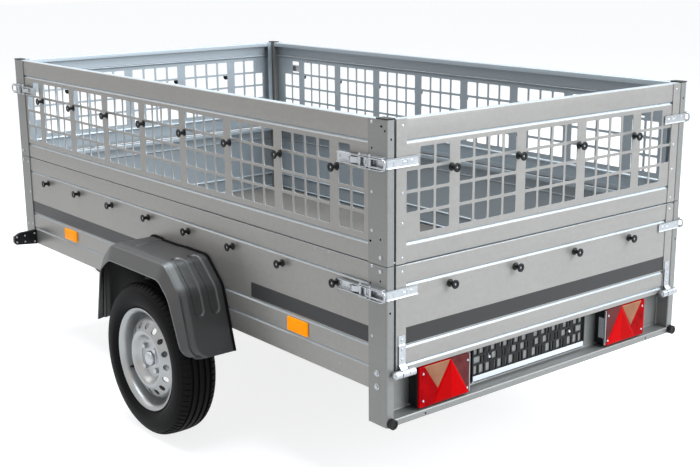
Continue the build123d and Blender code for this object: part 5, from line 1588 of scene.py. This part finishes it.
# %% Holes
# painted shade: holes and slots are flat black marks in place of openings
MARK = 0.0003  # how far a black mark stands proud
HOLE = ((0, MARK), (0.0030, MARK), (0.0032, 0), (0, 0))
MARKS = ((0.0083, 1.145), (0.0615, 1.094), (0.0264, 0.846), (0.0686, 0.716), (0.0265, 0.7285), (2.341, 0.846))
SLOTS = ((0.0225, 1.156), (0.0686, 0.836))
SLOT = (0.0045, 0.0028)  # half length and half height
REAR_MARKS = ((0.6448, 1.122), (0.6473, 0.640), (0.5114, 0.3117))


def slot_at(along, height):
    """Flat black slot of painted shade on the left posts."""
    long, high = SLOT
    slot = plate(REAR + along - long, height - high, REAR + along + long, height + high, 0.0027, 0, MARK,
                 0.0001)
    return lengthwise(slot, (0, SIDE, 0))


rear_marks = [turned(HOLE, (REAR, across, height), -X) for across, height in REAR_MARKS]
hole_shades = together(beside(MARKS, HOLE, SIDE), *[slot_at(*place) for place in SLOTS], *rear_marks)
piece("punched_hole_shades", both_sides(hole_shades), "chassis", "black_plastic", material=painted_shade_black)

# %% [markdown]
# ## Stage and light
# A white studio. Whatever looks at the background, the camera, a glossy metal or a pane of glass, sees
# white; as a light the world is dimmer and a little cool. The floor adds a glow to the same rays, so it
# turns white wherever no shadow falls. A soft box above makes the tops bright and one behind lights the
# rear. Two more stand high at the right and in front, where the upper flank of every groove mirrors them,
# and a weak warm one fills the left side.

# %% Floor, backdrop and light
WORLD_LIGHT = (0.22, 0.27, 0.32, 1)
FLOOR_COLOUR = rgb(160, 160, 160)
FLOOR_GLOW = (0.82, 0.82, 0.82, 1)
FLOOR_HALF = 30


def seen(paint):
    """1 for rays that look at the background: from the camera, off a glossy surface or through glass."""
    rays = ("Is Camera Ray", "Is Glossy Ray", "Is Transmission Ray")
    return sum(paint.node("ShaderNodeLightPath", output=ray) for ray in rays)


def floor_material():
    """Pale matt floor that takes the shadow, with a glow for the rays that look at it."""
    paint = Paint("studio floor")
    glow = paint.mix(seen(paint), (0, 0, 0, 1), FLOOR_GLOW)
    return paint.finish(Base_Color=FLOOR_COLOUR, Roughness=0.9, Specular_IOR_Level=0.2, Emission_Color=glow,
                        Emission_Strength=1.0)


def studio():
    """World that is white where it is looked at and dimmer as a light."""
    paint = Paint("studio", "worlds", "Background")
    return paint.finish(Color=paint.mix(seen(paint), WORLD_LIGHT, (1, 1, 1, 1)), Strength=1.0)


def flat(name, half):
    """Square of that half size on the ground."""
    mesh = bpy.data.meshes.new(name)
    corners = [(-half, -half, 0), (half, -half, 0), (half, half, 0), (-half, half, 0)]
    mesh.from_pydata(corners, [], [(0, 1, 2, 3)])
    made = bpy.data.objects.new(name, mesh)
    bpy.context.scene.collection.objects.link(made)
    return made


def lamp(name, place, target, size, power, colour):
    """Square soft box of this size in metres and power in watts at place, aimed at target."""
    light = bpy.data.lights.new(name, "AREA")
    light.size = size
    light.energy = power
    light.color = colour
    made = bpy.data.objects.new(name, light)
    made.location = place
    made.rotation_mode = "QUATERNION"
    made.rotation_quaternion = (Vector(target) - Vector(place)).to_track_quat("-Z", "Y")
    bpy.context.scene.collection.objects.link(made)


floor = flat("floor", FLOOR_HALF)
floor.data.materials.append(floor_material())
bpy.context.scene.world = studio()
lamp("above", (0, 0, 6.5), (0, 0, 0), 5.0, 720, (0.86, 0.95, 1.0))
lamp("behind", (-6.5, -2.0, 3.0), (-0.5, 0, 0.6), 3.0, 275, (0.86, 0.94, 1.0))
lamp("right", (-4.9, -4.4, 5.6), (-1.7, 0, 0.8), 4.0, 320, (0.88, 0.94, 1.0))
lamp("front", (4.9, 2.8, 5.1), (-0.5, 0.66, 0.9), 4.0, 90, (1.0, 0.95, 0.90))
lamp("left", (-2.0, 6.5, 3.5), (-0.5, 0, 0.6), 4.0, 20, (1.0, 0.7, 0.4))
bpy.context.scene.view_settings.view_transform = "Standard"
